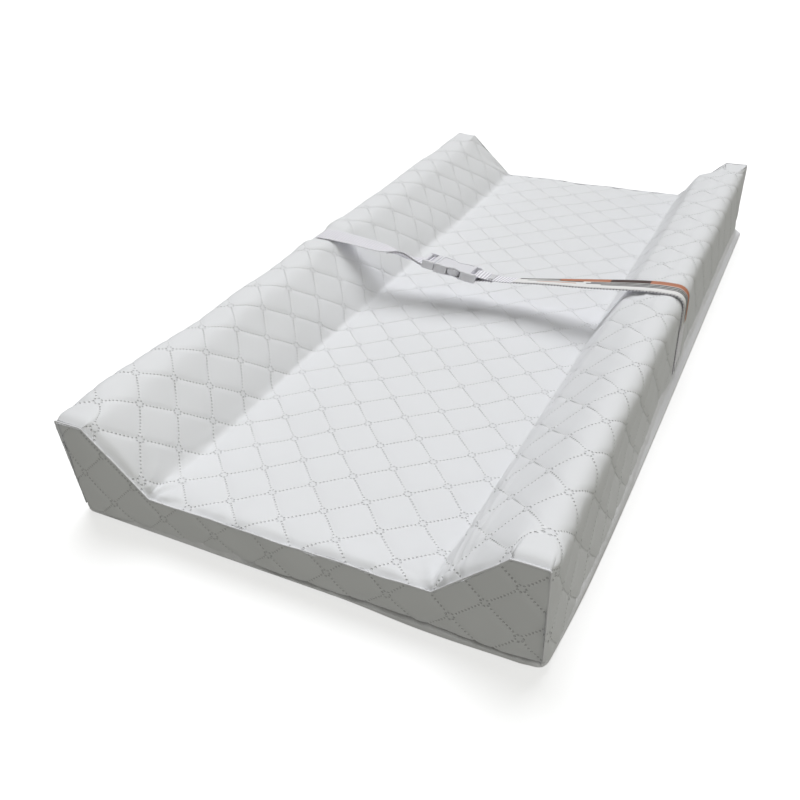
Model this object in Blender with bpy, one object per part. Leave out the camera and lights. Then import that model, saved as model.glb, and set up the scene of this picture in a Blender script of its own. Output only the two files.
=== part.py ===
"""A contoured changing pad: a foam trough in a quilted vinyl cover, with a buckled safety strap.

Metres, +Z up. The origin is the centre of the pad's underside. X runs across the pad, from the
left bolster to the right one, and Y runs along it, from the front end to the rear end.
"""

import math

import bmesh
import bpy
from mathutils import Matrix, Vector

# Pad: outer size of the cover, and the contour across it.
PAD_WIDTH = 0.4064
PAD_LENGTH = 0.8128
PAD_HEIGHT = 0.095
FLOOR_HEIGHT = 0.043
BOLSTER_TOP_WIDTH = 0.027
BOLSTER_FOOT_WIDTH = 0.082
OUTER_EDGE_RADIUS = 0.010
INNER_EDGE_RADIUS = 0.008
FOOT_RADIUS = 0.006

# Cover: quilted laminate, plain underside, and the raised seam allowance round each end.
SKIN = 0.003
GAP = 0.0003
SEAM_HEIGHT = 0.010
WELT_DEPTH = 0.0019
WELT_OUTSIDE = 0.0008
WELT_INSIDE = 0.0018
BOTTOM_SHEET = 0.0012
RIM_OVERHANG = 0.0012
FLANGE_SIDE = 0.0070
FLANGE_FRONT = 0.0015
FLANGE_REAR = 0.0060
FLANGE_CORNER_RADIUS = 0.014
RIM_CORNER_RADIUS = 0.009

# Strap: one-inch flat webbing in two halves. A twist is (angle, place along the span,
# spread, rise of the span above its free curve).
WEB_WIDTH = 0.0254
WEB_THICKNESS = 0.0014
WEB_LIFT = GAP + WEB_THICKNESS / 2
LEFT_STRAP_Y = -0.001
RIGHT_STRAP_Y = 0.004
SPAN_STEPS = 32
LEFT_TWIST = (math.radians(-30), 0.80, 0.14, 0.0)
RIGHT_TWIST = (math.radians(7), 0.72, 0.26, 0.0038)
TAIL_START = 0.007
TAIL_LENGTH = 0.040
LOOP_RETURN = 0.013

# Label: a blank strip sewn along the right webbing.
LABEL_WIDTH = 0.0250
LABEL_THICKNESS = 0.0005
LABEL_START_X = 0.026
LABEL_END_Z = 0.061

# Buckle: side-release, for one-inch webbing. Local X runs along the strap into the housing.
BUCKLE_CENTRE = (-0.0395, 0.0050, 0.0780)
BUCKLE_PITCH = math.radians(10.5)
BUCKLE_YAW = math.radians(4)
BUCKLE_ROLL = math.radians(-10)
HOUSING_MOUTH = -0.0172
HOUSING_END = 0.0300
HOUSING_HALF_WIDTH = 0.0162
HOUSING_WAIST = 0.0126
WAIST_REACH = 0.0092
WAIST_STEPS = 12
DISH_INSET = 0.0030
DISH_DEPTH = 0.0005
HOUSING_HALF_HEIGHT = 0.0050
CHANNEL_HALF_WIDTH = 0.0128
CHANNEL_HALF_HEIGHT = 0.0033
CHANNEL_END = 0.0150
WINDOW_START = -0.0030
WINDOW_END = 0.0125
WINDOW_HALF_HEIGHT = 0.0034
LOOP_BAR_X = 0.0278
LOOP_BAR_RADIUS = 0.0018
LOOP_SLOT = (0.0226, 0.0310)
SLOT_HALF_WIDTH = 0.0133
TONGUE_END = -0.0310
TONGUE_FACE = -0.0175
TONGUE_HALF_WIDTH = 0.0160
TONGUE_HALF_HEIGHT = 0.0046
TONGUE_BLOCK = 0.0035
END_BAR = (-0.0310, -0.0280)
END_BAR_HEIGHTS = (-0.0010, 0.0042)
LADDER_BAR_X = -0.0245
LADDER_BAR_RADIUS = 0.0013
GUIDE_END = 0.0110
GUIDE_HALF_WIDTH = 0.0024
GUIDE_HALF_HEIGHT = 0.0018

# Prongs: each turns about an upright axis at its root.
PRONG_PIVOT = (-0.0155, 0.0105)
PRONG_ROOT_RADIUS = 0.0015
PRONG_HALF_HEIGHT = 0.0029
PRONG_ARM_HALF_WIDTH = 0.0012
BARB_START = -0.0022
BARB_OUTSIDE = 0.0144
BARB_INSIDE = 0.0086
PRONG_TIP = 0.0110

# Stitched bars that hold the webbing.
TACK_LENGTH = 0.006
TACK_WIDTH = 0.022
TACK_THICKNESS = 0.0005

# Colours, roughness and metallic value of each material.
VINYL = ("quilted_vinyl", (0.80, 0.81, 0.82), 0.42, 0.0)
PLAIN_VINYL = ("plain_vinyl", (0.76, 0.77, 0.79), 0.45, 0.0)
FOAM = ("foam", (0.85, 0.83, 0.74), 0.95, 0.0)
WEBBING = ("webbing", (0.77, 0.76, 0.82), 0.75, 0.0)
LABEL = ("label", (0.84, 0.84, 0.84), 0.55, 0.0)
THREAD = ("thread", (0.82, 0.82, 0.84), 0.70, 0.0)
PLASTIC = ("plastic", (0.80, 0.82, 0.83), 0.35, 0.0)


def clear_scene():
    for obj in list(bpy.data.objects):
        bpy.data.objects.remove(obj, do_unlink=True)


def material(name, colour, roughness, metallic):
    """The named Principled material, made once for each part that asks."""
    made = bpy.data.materials.new(name)
    made.use_nodes = True
    shader = made.node_tree.nodes["Principled BSDF"]
    shader.inputs["Base Color"].default_value = (*colour, 1.0)
    shader.inputs["Roughness"].default_value = roughness
    shader.inputs["Metallic"].default_value = metallic
    made.diffuse_color = (*colour, 1.0)
    return made


def add_object(name, bm, finish):
    """Turns a bmesh into a named object with its own material."""
    bmesh.ops.recalc_face_normals(bm, faces=bm.faces)
    mesh = bpy.data.meshes.new(name)
    bm.to_mesh(mesh)
    bm.free()
    slot, colour, roughness, metallic = finish
    mesh.materials.append(material(name + "_" + slot, colour, roughness, metallic))
    obj = bpy.data.objects.new(name, mesh)
    bpy.context.scene.collection.objects.link(obj)
    return obj


def smooth(obj, degrees=35):
    obj.data.shade_smooth()
    obj.data.set_sharp_from_angle(angle=math.radians(degrees))
    return obj


# Outlines ---------------------------------------------------------------------------------


def mirrored(points):
    """A right-hand run of (x, z) points, carried on over the left side."""
    return list(points) + [(-x, z) for x, z in reversed(points)]


def contour_corners():
    """Sharp corners of the cover's outer contour, from the right seam to the left seam."""
    side = PAD_WIDTH / 2
    return mirrored(
        [
            (side, SEAM_HEIGHT),
            (side, PAD_HEIGHT),
            (side - BOLSTER_TOP_WIDTH, PAD_HEIGHT),
            (side - BOLSTER_FOOT_WIDTH, FLOOR_HEIGHT),
        ]
    )


def shifted_path(corners, distance):
    """The open path moved to its left by distance, with mitred corners."""
    points = [Vector(corner) for corner in corners]
    normals = []
    for start, end in zip(points, points[1:]):
        along = (end - start).normalized()
        normals.append(Vector((-along.y, along.x)))
    shifted = [points[0] + normals[0] * distance]
    for point, before, after in zip(points[1:], normals, normals[1:]):
        mitre = (before + after) / (1 + before.dot(after))
        shifted.append(point + mitre * distance)
    shifted.append(points[-1] + normals[-1] * distance)
    return shifted


def rounded_path(corners, radii, steps=4):
    """The open path with an arc of the given radius at each inner corner."""
    points = [Vector(corner) for corner in corners]
    path = [points[0]]
    for before, corner, after, radius in zip(points, points[1:], points[2:], radii):
        back = (before - corner).normalized()
        ahead = (after - corner).normalized()
        half_angle = back.angle(ahead) / 2
        reach = radius / math.tan(half_angle)
        bisector = (back + ahead).normalized()
        centre = corner + bisector * radius / math.sin(half_angle)
        first = corner + back * reach - centre
        turn = first.angle_signed(corner + ahead * reach - centre)
        for step in range(steps + 1):
            path.append(centre + Matrix.Rotation(-turn * step / steps, 2) @ first)
    path.append(points[-1])
    return path


def contour(inset):
    """The cover's contour moved inwards, with its edges rounded to suit."""
    one_side = [
        OUTER_EDGE_RADIUS - inset,
        INNER_EDGE_RADIUS - inset,
        FOOT_RADIUS + inset,
    ]
    corners = shifted_path(contour_corners(), inset)
    return rounded_path(corners, one_side + one_side[::-1])


def rounded_rectangle(half_x, y_low, y_high, radius, height, steps=6):
    """A level ring of points, anticlockwise."""
    ring = []
    corners = (
        (half_x - radius, y_low + radius, -90),
        (half_x - radius, y_high - radius, 0),
        (radius - half_x, y_high - radius, 90),
        (radius - half_x, y_low + radius, 180),
    )
    for x, y, first_angle in corners:
        for step in range(steps + 1):
            angle = math.radians(first_angle + 90 * step / steps)
            ring.append((x + radius * math.cos(angle), y + radius * math.sin(angle), height))
    return ring


# Solids -----------------------------------------------------------------------------------


def prism(name, outline, axis, low, high, finish):
    """The closed outline, extruded along one axis. The outline's pairs fill the other two axes."""
    bm = bmesh.new()
    others = [index for index in range(3) if index != axis]
    verts = []
    for first, second in outline:
        place = [0.0, 0.0, 0.0]
        place[axis] = low
        place[others[0]] = first
        place[others[1]] = second
        verts.append(bm.verts.new(place))
    face = bm.faces.new(verts)
    grown = bmesh.ops.extrude_face_region(bm, geom=[face])["geom"]
    moved = [item for item in grown if isinstance(item, bmesh.types.BMVert)]
    offset = [0.0, 0.0, 0.0]
    offset[axis] = high - low
    bmesh.ops.translate(bm, verts=moved, vec=offset)
    return add_object(name, bm, finish)


def box(name, low, high, finish=PLASTIC):
    outline = [(low[0], low[1]), (high[0], low[1]), (high[0], high[1]), (low[0], high[1])]
    return prism(name, outline, 2, low[2], high[2], finish)


def cross_bar(name, x, z, radius, half_length, sides=16):
    """A round bar that lies across the strap."""
    outline = []
    for index in range(sides):
        angle = math.tau * index / sides
        outline.append((x + radius * math.cos(angle), z + radius * math.sin(angle)))
    return prism(name, outline, 1, -half_length, half_length, PLASTIC)


def ribbon(name, stations, width, thickness, finish):
    """A flat band along stations of (centre, side direction)."""
    bm = bmesh.new()
    rings = []
    last = len(stations) - 1
    for index, (centre, side) in enumerate(stations):
        ahead = stations[min(index + 1, last)][0]
        behind = stations[max(index - 1, 0)][0]
        normal = (ahead - behind).cross(side).normalized()
        across = side * width / 2
        through = normal * thickness / 2
        corners = (across + through, through - across, -across - through, across - through)
        rings.append([bm.verts.new(centre + corner) for corner in corners])
    for ring, following in zip(rings, rings[1:]):
        for index in range(4):
            after = (index + 1) % 4
            bm.faces.new((ring[index], ring[after], following[after], following[index]))
    bm.faces.new(rings[0])
    bm.faces.new(rings[-1])
    return add_object(name, bm, finish)


def cut(obj, cutter):
    """Takes the cutter's space out of the object."""
    cutter.hide_render = True
    cutter.display_type = "WIRE"
    cutter.hide_set(False)
    modifier = obj.modifiers.new(cutter.name, "BOOLEAN")
    modifier.operation = "DIFFERENCE"
    modifier.solver = "EXACT"
    modifier.object = cutter


def join(obj, other):
    """Adds the other solid to the object."""
    other.hide_render = True
    other.display_type = "WIRE"
    modifier = obj.modifiers.new(other.name, "BOOLEAN")
    modifier.operation = "UNION"
    modifier.solver = "EXACT"
    modifier.object = other


def bevel(obj, width, segments=2):
    modifier = obj.modifiers.new("edges", "BEVEL")
    modifier.width = width
    modifier.segments = segments
    modifier.limit_method = "ANGLE"
    modifier.angle_limit = math.radians(40)


# Foam -------------------------------------------------------------------------------------


def foam_base_slab():
    side = PAD_WIDTH / 2 - SKIN - GAP
    end = PAD_LENGTH / 2 - SKIN - GAP
    top = FLOOR_HEIGHT - SKIN - GAP
    low = (-side, -end, BOTTOM_SHEET + GAP)
    return box("foam_base_slab", low, (side, end, top), FOAM)


def foam_bolster(name, sign):
    """A wedge with a flat top, glued along one side of the slab."""
    inset = SKIN + GAP
    wall, top, foot = shifted_path(contour_corners(), inset)[1:4]
    base = FLOOR_HEIGHT - SKIN
    share = (base - foot.y) / (top.y - foot.y)
    toe = foot.lerp(top, share)
    corners = [(wall.x, base), (wall.x, wall.y), (top.x, top.y), (toe.x, base)]
    radii = [OUTER_EDGE_RADIUS - inset, INNER_EDGE_RADIUS - inset]
    outline = [(sign * x, z) for x, z in rounded_path(corners, radii)]
    end = PAD_LENGTH / 2 - inset
    return prism(name, outline, 1, -end, end, FOAM)


# Cover ------------------------------------------------------------------------------------


def cover_top_panel():
    """The quilted sheet that runs up one side, over the bolster, down into the trough and back."""
    outline = contour(0.0) + list(reversed(contour(SKIN)))
    end = PAD_LENGTH / 2 - SKIN - GAP
    return smooth(prism("cover_top_panel", outline, 1, -end, end, VINYL))


def cover_end_panel(name, sign):
    outer = sign * PAD_LENGTH / 2
    inner = sign * (PAD_LENGTH / 2 - SKIN)
    return prism(name, contour(0.0), 1, min(outer, inner), max(outer, inner), VINYL)


def seam_welt(name, sign):
    """The raised seam allowance that follows the contour round one end."""
    outline = contour(-WELT_OUTSIDE) + list(reversed(contour(WELT_INSIDE)))
    inner = sign * (PAD_LENGTH / 2 + GAP)
    outer = sign * (PAD_LENGTH / 2 + GAP + WELT_DEPTH)
    return smooth(prism(name, outline, 1, min(inner, outer), max(inner, outer), PLAIN_VINYL))


def cover_bottom_panel():
    """The plain underside, turned up to the bottom seam, with its flange spread at the foot."""
    side = PAD_WIDTH / 2
    end = PAD_LENGTH / 2
    sheet = BOTTOM_SHEET
    rim = SEAM_HEIGHT - GAP
    foot_radius = FLANGE_CORNER_RADIUS
    rim_radius = RIM_CORNER_RADIUS
    foot_x = side + FLANGE_SIDE
    foot_y = (-end - FLANGE_FRONT, end + FLANGE_REAR)
    rim_x = side + RIM_OVERHANG
    rim_y = end + RIM_OVERHANG
    rings = [
        rounded_rectangle(foot_x, foot_y[0], foot_y[1], foot_radius, 0.0),
        rounded_rectangle(rim_x, -rim_y, rim_y, rim_radius, rim),
        rounded_rectangle(rim_x - sheet, sheet - rim_y, rim_y - sheet, rim_radius - sheet, rim),
        rounded_rectangle(
            foot_x - sheet, foot_y[0] + sheet, foot_y[1] - sheet, foot_radius - sheet, sheet
        ),
    ]
    bm = bmesh.new()
    loops = [[bm.verts.new(point) for point in ring] for ring in rings]
    for lower, upper in zip(loops, loops[1:]):
        for index in range(len(lower)):
            after = (index + 1) % len(lower)
            bm.faces.new((lower[index], lower[after], upper[after], upper[index]))
    bm.faces.new(loops[0])
    bm.faces.new(loops[-1])
    return add_object("cover_bottom_panel", bm, PLAIN_VINYL)


# Strap ------------------------------------------------------------------------------------


def buckle_frame():
    """Local X along the strap into the housing, Y to the rear, Z up through the top plate."""
    turn = Matrix.Rotation(BUCKLE_YAW, 4, "Z")
    turn = turn @ Matrix.Rotation(BUCKLE_PITCH, 4, "Y")
    turn = turn @ Matrix.Rotation(BUCKLE_ROLL, 4, "X")
    return Matrix.Translation(BUCKLE_CENTRE) @ turn


def in_buckle(points):
    """Stations from (x, z) pairs in the buckle's own axes."""
    frame = buckle_frame()
    side = frame.to_3x3() @ Vector((0, 1, 0))
    return [(frame @ Vector((x, 0, z)), side) for x, z in points]


def arc(centre, radius, first, last, steps):
    """(x, z) points along an arc, with its angles in degrees."""
    points = []
    for step in range(steps + 1):
        angle = math.radians(first + (last - first) * step / steps)
        points.append((centre[0] + radius * math.cos(angle), centre[1] + radius * math.sin(angle)))
    return points


def over_bolster(sign, y, lift):
    """Stations from the bottom seam up the outer wall and over the bolster's top."""
    wall = PAD_WIDTH / 2 + lift
    top = PAD_HEIGHT + lift
    centre = (PAD_WIDTH / 2 - OUTER_EDGE_RADIUS, PAD_HEIGHT - OUTER_EDGE_RADIUS)
    points = [(wall, SEAM_HEIGHT + GAP), (wall, (SEAM_HEIGHT + centre[1]) / 2)]
    points += arc(centre, OUTER_EDGE_RADIUS + lift, 0, 90, 6)
    points.append((PAD_WIDTH / 2 - BOLSTER_TOP_WIDTH + INNER_EDGE_RADIUS / 2, top))
    side = Vector((0, -sign, 0))
    return [(Vector((sign * x, y, z)), side) for x, z in points]


def hanging_span(start, end, end_direction, twist):
    """Stations between the bolster and the buckle, on a smooth curve that rolls as it goes."""
    (first, first_side), (last, last_side) = start, end
    angle, place, spread, tautness = twist
    reach = (last - first).length
    leave = (last - first).normalized()
    leave.z *= 0.6
    stations = []
    for step in range(1, SPAN_STEPS):
        t = step / SPAN_STEPS
        a = 2 * t**3 - 3 * t**2 + 1
        b = t**3 - 2 * t**2 + t
        c = t**3 - t**2
        centre = first * a + last * (1 - a) + leave * (b * reach) + end_direction * (c * reach)
        centre.z += tautness * math.sin(math.pi * t**1.5) ** 2
        bump = math.exp(-(((t - place) / spread) ** 2))
        side = first_side.lerp(last_side, t).normalized()
        along = (last - first).normalized()
        side = Matrix.Rotation(angle * bump, 3, along) @ side
        stations.append((centre, side))
    return stations


def left_stations():
    """From the left seam over the bolster, up through the ladder, round its bar and back."""
    over = over_bolster(-1, LEFT_STRAP_Y, WEB_LIFT)
    ride = LADDER_BAR_RADIUS + GAP + WEB_THICKNESS / 2
    under = END_BAR_HEIGHTS[0] - WEB_LIFT
    tail_level = under - WEB_THICKNESS - GAP
    entry = in_buckle([(TONGUE_END - 0.004, under), (END_BAR[1] + 0.0004, under)])
    wrap = in_buckle(arc((LADDER_BAR_X, 0.0), ride, 165, -50, 8))
    back = in_buckle([(LADDER_BAR_X - 0.001, tail_level), (TONGUE_END - 0.002, tail_level)])
    entry = [(centre, -side) for centre, side in entry + wrap + back]
    over = [(centre, -side) for centre, side in over]
    direction = (entry[1][0] - entry[0][0]).normalized()
    span = hanging_span(over[-1], entry[0], direction, LEFT_TWIST)
    return over + span + entry + run_below(span, entry[0][0], TAIL_START, TAIL_LENGTH)


def run_below(span, origin, nearest, farthest):
    """Stations of a second layer under the end of a span, between two distances from its end."""
    below = WEB_THICKNESS + GAP
    layer = []
    for index in range(-1, -SPAN_STEPS, -1):
        centre, side = span[index]
        reach = (centre - origin).length
        if reach > farthest:
            break
        if reach < nearest:
            continue
        up = (centre - span[index - 1][0]).cross(side).normalized()
        up = up if up.z > 0 else -up
        layer.append((centre - up * below, side))
    return layer


def right_stations():
    """From the right seam over the bolster to the housing, round its bar and back underneath."""
    over = over_bolster(1, RIGHT_STRAP_Y, WEB_LIFT)
    ride = LOOP_BAR_RADIUS + GAP + WEB_THICKNESS / 2
    entry = in_buckle([(LOOP_BAR_X + 0.008, ride)])
    wrap = in_buckle(arc((LOOP_BAR_X, 0.0), ride, 90, 270, 8))
    entry = [(centre, -side) for centre, side in entry + wrap]
    direction = (entry[1][0] - entry[0][0]).normalized()
    span = hanging_span(over[-1], entry[0], direction, RIGHT_TWIST)
    back = run_below(span, entry[0][0], 0.0, LOOP_RETURN)
    return over, span, entry, back


def strap_webbing_left():
    return smooth(ribbon("strap_webbing_left", left_stations(), WEB_WIDTH, WEB_THICKNESS, WEBBING))


def strap_webbing_right():
    over, span, entry, back = right_stations()
    stations = over + span + entry + back
    return smooth(ribbon("strap_webbing_right", stations, WEB_WIDTH, WEB_THICKNESS, WEBBING))


def lifted(stations, distance):
    """The stations moved off the top face of their band."""
    moved = []
    last = len(stations) - 1
    for index, (centre, side) in enumerate(stations):
        ahead = stations[min(index + 1, last)][0]
        behind = stations[max(index - 1, 0)][0]
        normal = (ahead - behind).cross(side).normalized()
        moved.append((centre + normal * distance, side))
    return moved


def strap_label():
    """The sewn strip on the right webbing, from near the buckle to part way down the wall."""
    over, span, entry, back = right_stations()
    path = lifted(over + span, WEB_THICKNESS / 2 + 2 * GAP + LABEL_THICKNESS / 2)
    kept = []
    for centre, side in path:
        if centre.x < LABEL_START_X:
            break
        kept.append((centre, side))
    low_end = kept[0][0].copy()
    low_end.z = LABEL_END_Z
    kept = [(low_end, kept[0][1])] + kept[2:]
    return smooth(ribbon("strap_label", kept, LABEL_WIDTH, LABEL_THICKNESS, LABEL))


def anchor_tack(name, sign, y):
    """The stitched bar that holds one half of the strap at the bottom seam."""
    wall = PAD_WIDTH / 2 + WEB_LIFT + WEB_THICKNESS / 2 + GAP + TACK_THICKNESS / 2
    side = Vector((0, -sign, 0))
    foot = SEAM_HEIGHT + 0.003
    stations = [(Vector((sign * wall, y, foot + TACK_LENGTH * share)), side) for share in (0, 1)]
    return ribbon(name, stations, TACK_WIDTH, TACK_THICKNESS, THREAD)


def loop_tack():
    """The stitched bar that closes the right webbing's loop behind the housing."""
    over, span, entry, back = right_stations()
    path = lifted(over + span, WEB_THICKNESS / 2 + 2 * GAP + TACK_THICKNESS / 2)
    (first, first_side), (second, second_side) = path[-1], path[-2]
    share = TACK_LENGTH / (second - first).length
    stations = [(first, first_side), (first.lerp(second, share), first_side)]
    return ribbon("loop_bartack", stations, TACK_WIDTH, TACK_THICKNESS, THREAD)


# Buckle -----------------------------------------------------------------------------------


def waisted_half_width(x):
    """Half the width of the housing's plan, which draws in smoothly at the windows."""
    share = (x - (WINDOW_START + WINDOW_END) / 2) / WAIST_REACH
    dip = (1 + math.cos(math.pi * share)) / 2 if abs(share) < 1 else 0.0
    return HOUSING_HALF_WIDTH - (HOUSING_HALF_WIDTH - HOUSING_WAIST) * dip


def waisted_run(inset):
    """(x, y) points along one side of the housing, past its window."""
    middle = (WINDOW_START + WINDOW_END) / 2
    places = [middle + WAIST_REACH * (2 * n / WAIST_STEPS - 1) for n in range(WAIST_STEPS + 1)]
    return [(x, waisted_half_width(x) - inset) for x in places]


def housing_outline():
    """Half the plan of the housing: full at the mouth, waisted at the windows, full again."""
    end = [
        (HOUSING_END - 0.0050, HOUSING_HALF_WIDTH - 0.0004),
        (HOUSING_END - 0.0018, HOUSING_HALF_WIDTH - 0.0014),
        (HOUSING_END - 0.0005, HOUSING_HALF_WIDTH - 0.0028),
        (HOUSING_END, HOUSING_HALF_WIDTH - 0.0046),
    ]
    return [(HOUSING_MOUTH, HOUSING_HALF_WIDTH)] + waisted_run(0.0) + end


def plate_dish(name, low, high):
    """A shallow dish to cut in the plate, along the housing's plan."""
    start = (HOUSING_MOUTH + DISH_INSET, HOUSING_HALF_WIDTH - DISH_INSET)
    end = (LOOP_SLOT[0] - DISH_INSET, HOUSING_HALF_WIDTH - DISH_INSET)
    half = [start] + waisted_run(DISH_INSET) + [end]
    return prism(name, half + [(x, -y) for x, y in reversed(half)], 2, low, high, PLASTIC)


def buckle_housing(axes):
    half = housing_outline()
    outline = half + [(x, -y) for x, y in reversed(half)]
    height = HOUSING_HALF_HEIGHT
    housing = prism("buckle_housing", outline, 2, -height, height, PLASTIC)
    bevel(housing, 0.0016, 3)
    channel = box(
        "housing_channel",
        (HOUSING_MOUTH - 0.002, -CHANNEL_HALF_WIDTH, -CHANNEL_HALF_HEIGHT),
        (CHANNEL_END, CHANNEL_HALF_WIDTH, CHANNEL_HALF_HEIGHT),
    )
    windows = box(
        "housing_windows",
        (WINDOW_START, -0.02, -WINDOW_HALF_HEIGHT),
        (WINDOW_END, 0.02, WINDOW_HALF_HEIGHT),
    )
    slot = box(
        "housing_slot",
        (LOOP_SLOT[0], -SLOT_HALF_WIDTH, -0.01),
        (LOOP_SLOT[1], SLOT_HALF_WIDTH, 0.01),
    )
    bar = cross_bar("housing_bar", LOOP_BAR_X, 0.0, LOOP_BAR_RADIUS, SLOT_HALF_WIDTH + 0.001)
    upper_dish = plate_dish("housing_upper_dish", height - DISH_DEPTH, height + 0.001)
    lower_dish = plate_dish("housing_lower_dish", -height - 0.001, -height + DISH_DEPTH)
    for cutter in (channel, windows, slot, upper_dish, lower_dish):
        cut(housing, cutter)
    join(housing, bar)
    for piece in (housing, channel, windows, slot, upper_dish, lower_dish, bar):
        piece.parent = axes
    return housing


def buckle_tongue(axes):
    """The ladder end of the buckle: rails, end bar, ladder bar and the guide between the prongs."""
    height = TONGUE_HALF_HEIGHT
    tongue = box(
        "buckle_tongue",
        (TONGUE_END, -TONGUE_HALF_WIDTH, -height),
        (TONGUE_FACE, TONGUE_HALF_WIDTH, height),
    )
    bevel(tongue, 0.0014, 3)
    opening = box(
        "tongue_opening",
        (TONGUE_END - 0.002, -SLOT_HALF_WIDTH, -0.01),
        (TONGUE_FACE - TONGUE_BLOCK, SLOT_HALF_WIDTH, 0.01),
    )
    end_bar = box(
        "tongue_end_bar",
        (END_BAR[0], -SLOT_HALF_WIDTH - 0.001, END_BAR_HEIGHTS[0]),
        (END_BAR[1], SLOT_HALF_WIDTH + 0.001, END_BAR_HEIGHTS[1] - 0.0004),
    )
    bevel(end_bar, 0.0007)
    reach = SLOT_HALF_WIDTH + 0.001
    ladder = cross_bar("tongue_ladder_bar", LADDER_BAR_X, 0.0, LADDER_BAR_RADIUS, reach)
    guide = box(
        "tongue_guide",
        (TONGUE_FACE - 0.001, -GUIDE_HALF_WIDTH, -GUIDE_HALF_HEIGHT),
        (GUIDE_END, GUIDE_HALF_WIDTH, GUIDE_HALF_HEIGHT),
    )
    cut(tongue, opening)
    for extra in (end_bar, ladder, guide):
        join(tongue, extra)
    for piece in (tongue, opening, end_bar, ladder, guide):
        piece.parent = axes
    return tongue


def buckle_prong(name, sign, axes):
    """One release prong, with its origin on the upright axis at its root."""
    pivot_x, pivot_y = PRONG_PIVOT
    arm = PRONG_ARM_HALF_WIDTH
    outline = arc((0.0, 0.0), PRONG_ROOT_RADIUS, 130, 230, 4)
    outline += [
        (BARB_START - pivot_x - 0.004, -arm),
        (BARB_START - pivot_x + 0.003, BARB_INSIDE - pivot_y),
        (PRONG_TIP - pivot_x - 0.002, BARB_INSIDE - pivot_y),
        (PRONG_TIP - pivot_x, BARB_INSIDE - pivot_y + 0.0015),
        (PRONG_TIP - pivot_x - 0.0005, BARB_OUTSIDE - pivot_y - 0.0022),
        (PRONG_TIP - pivot_x - 0.0030, BARB_OUTSIDE - pivot_y - 0.0006),
        (BARB_START - pivot_x + 0.0030, BARB_OUTSIDE - pivot_y),
        (BARB_START - pivot_x, BARB_OUTSIDE - pivot_y),
        (BARB_START - pivot_x, arm),
    ]
    outline = [(x, sign * y) for x, y in outline]
    prong = prism(name, outline, 2, -PRONG_HALF_HEIGHT, PRONG_HALF_HEIGHT, PLASTIC)
    bevel(prong, 0.0012, 3)
    prong.location = (pivot_x, sign * pivot_y, 0.0)
    prong.parent = axes
    return prong


def main():
    clear_scene()
    foam_base_slab()
    foam_bolster("foam_bolster_left", -1)
    foam_bolster("foam_bolster_right", 1)
    cover_top_panel()
    cover_end_panel("cover_end_panel_front", -1)
    cover_end_panel("cover_end_panel_rear", 1)
    seam_welt("seam_welt_front", -1)
    seam_welt("seam_welt_rear", 1)
    cover_bottom_panel()
    strap_webbing_left()
    strap_webbing_right()
    strap_label()
    anchor_tack("anchor_bartack_left", -1, LEFT_STRAP_Y)
    anchor_tack("anchor_bartack_right", 1, RIGHT_STRAP_Y)
    loop_tack()

    axes = bpy.data.objects.new("buckle_axes", None)
    bpy.context.scene.collection.objects.link(axes)
    axes.matrix_world = buckle_frame()
    buckle_housing(axes)
    buckle_tongue(axes)
    buckle_prong("buckle_prong_front", -1, axes)
    buckle_prong("buckle_prong_rear", 1, axes)


main()
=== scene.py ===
"""The looks of a contoured changing pad: quilted cover, ribbed strap and buckle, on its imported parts."""

import math
from contextlib import contextmanager

import bmesh
import bpy
import numpy as np
from mathutils import Matrix, Vector


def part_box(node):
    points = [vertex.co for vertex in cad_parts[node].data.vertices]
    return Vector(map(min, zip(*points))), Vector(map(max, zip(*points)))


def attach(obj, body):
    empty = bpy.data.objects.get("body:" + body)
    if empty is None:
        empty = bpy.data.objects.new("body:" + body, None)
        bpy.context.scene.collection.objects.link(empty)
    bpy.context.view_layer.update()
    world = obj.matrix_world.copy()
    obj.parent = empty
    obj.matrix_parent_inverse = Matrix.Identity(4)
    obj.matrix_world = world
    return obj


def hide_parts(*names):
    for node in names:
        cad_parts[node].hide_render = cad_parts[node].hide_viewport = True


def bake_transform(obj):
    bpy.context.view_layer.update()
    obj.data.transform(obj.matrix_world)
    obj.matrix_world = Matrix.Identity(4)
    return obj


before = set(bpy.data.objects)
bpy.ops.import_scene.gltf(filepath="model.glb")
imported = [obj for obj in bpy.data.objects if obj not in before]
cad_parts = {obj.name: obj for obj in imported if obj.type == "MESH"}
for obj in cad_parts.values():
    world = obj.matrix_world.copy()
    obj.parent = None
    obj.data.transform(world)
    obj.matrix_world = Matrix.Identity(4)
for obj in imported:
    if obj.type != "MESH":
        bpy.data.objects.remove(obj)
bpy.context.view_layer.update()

# Pad, in metres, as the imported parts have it.
COVER_LOW, COVER_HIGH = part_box("cover_end_panel_front")
HALF_WIDTH = COVER_HIGH.x
HALF_LENGTH = -COVER_LOW.y
PAD_HEIGHT = COVER_HIGH.z
SEAM_HEIGHT = COVER_LOW.z
FLOOR_HEIGHT = 0.043
END_NAMES = {-1: "front", 1: "rear"}
BOLSTER_TOP_WIDTH = 0.027
BOLSTER_FOOT_WIDTH = 0.082
# Radii of the left bolster's outer edge, inner edge and foot, then of the right one's foot, inner edge
# and outer edge: crisp at the end seams, soft between them.
CRISP_RADII = (0.0022, 0.0030, 0.0020, 0.0020, 0.0030, 0.0022)
SOFT_RADII = (0.0050, 0.0230, 0.0040, 0.0040, 0.0230, 0.0130)
SOFTENING_REACH = 0.050
FRONT_LEFT_RADIUS = 0.017
FRONT_RIGHT_RADIUS = 0.004
REAR_CORNER_RADIUS = 0.005
FOOT_ROUNDING = 0.016
REAR_FOOT_SHARE = 0.2
FLOOR_HALF_WIDTH = HALF_WIDTH - BOLSTER_FOOT_WIDTH
BOLSTER_TOP_X = HALF_WIDTH - BOLSTER_TOP_WIDTH
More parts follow.
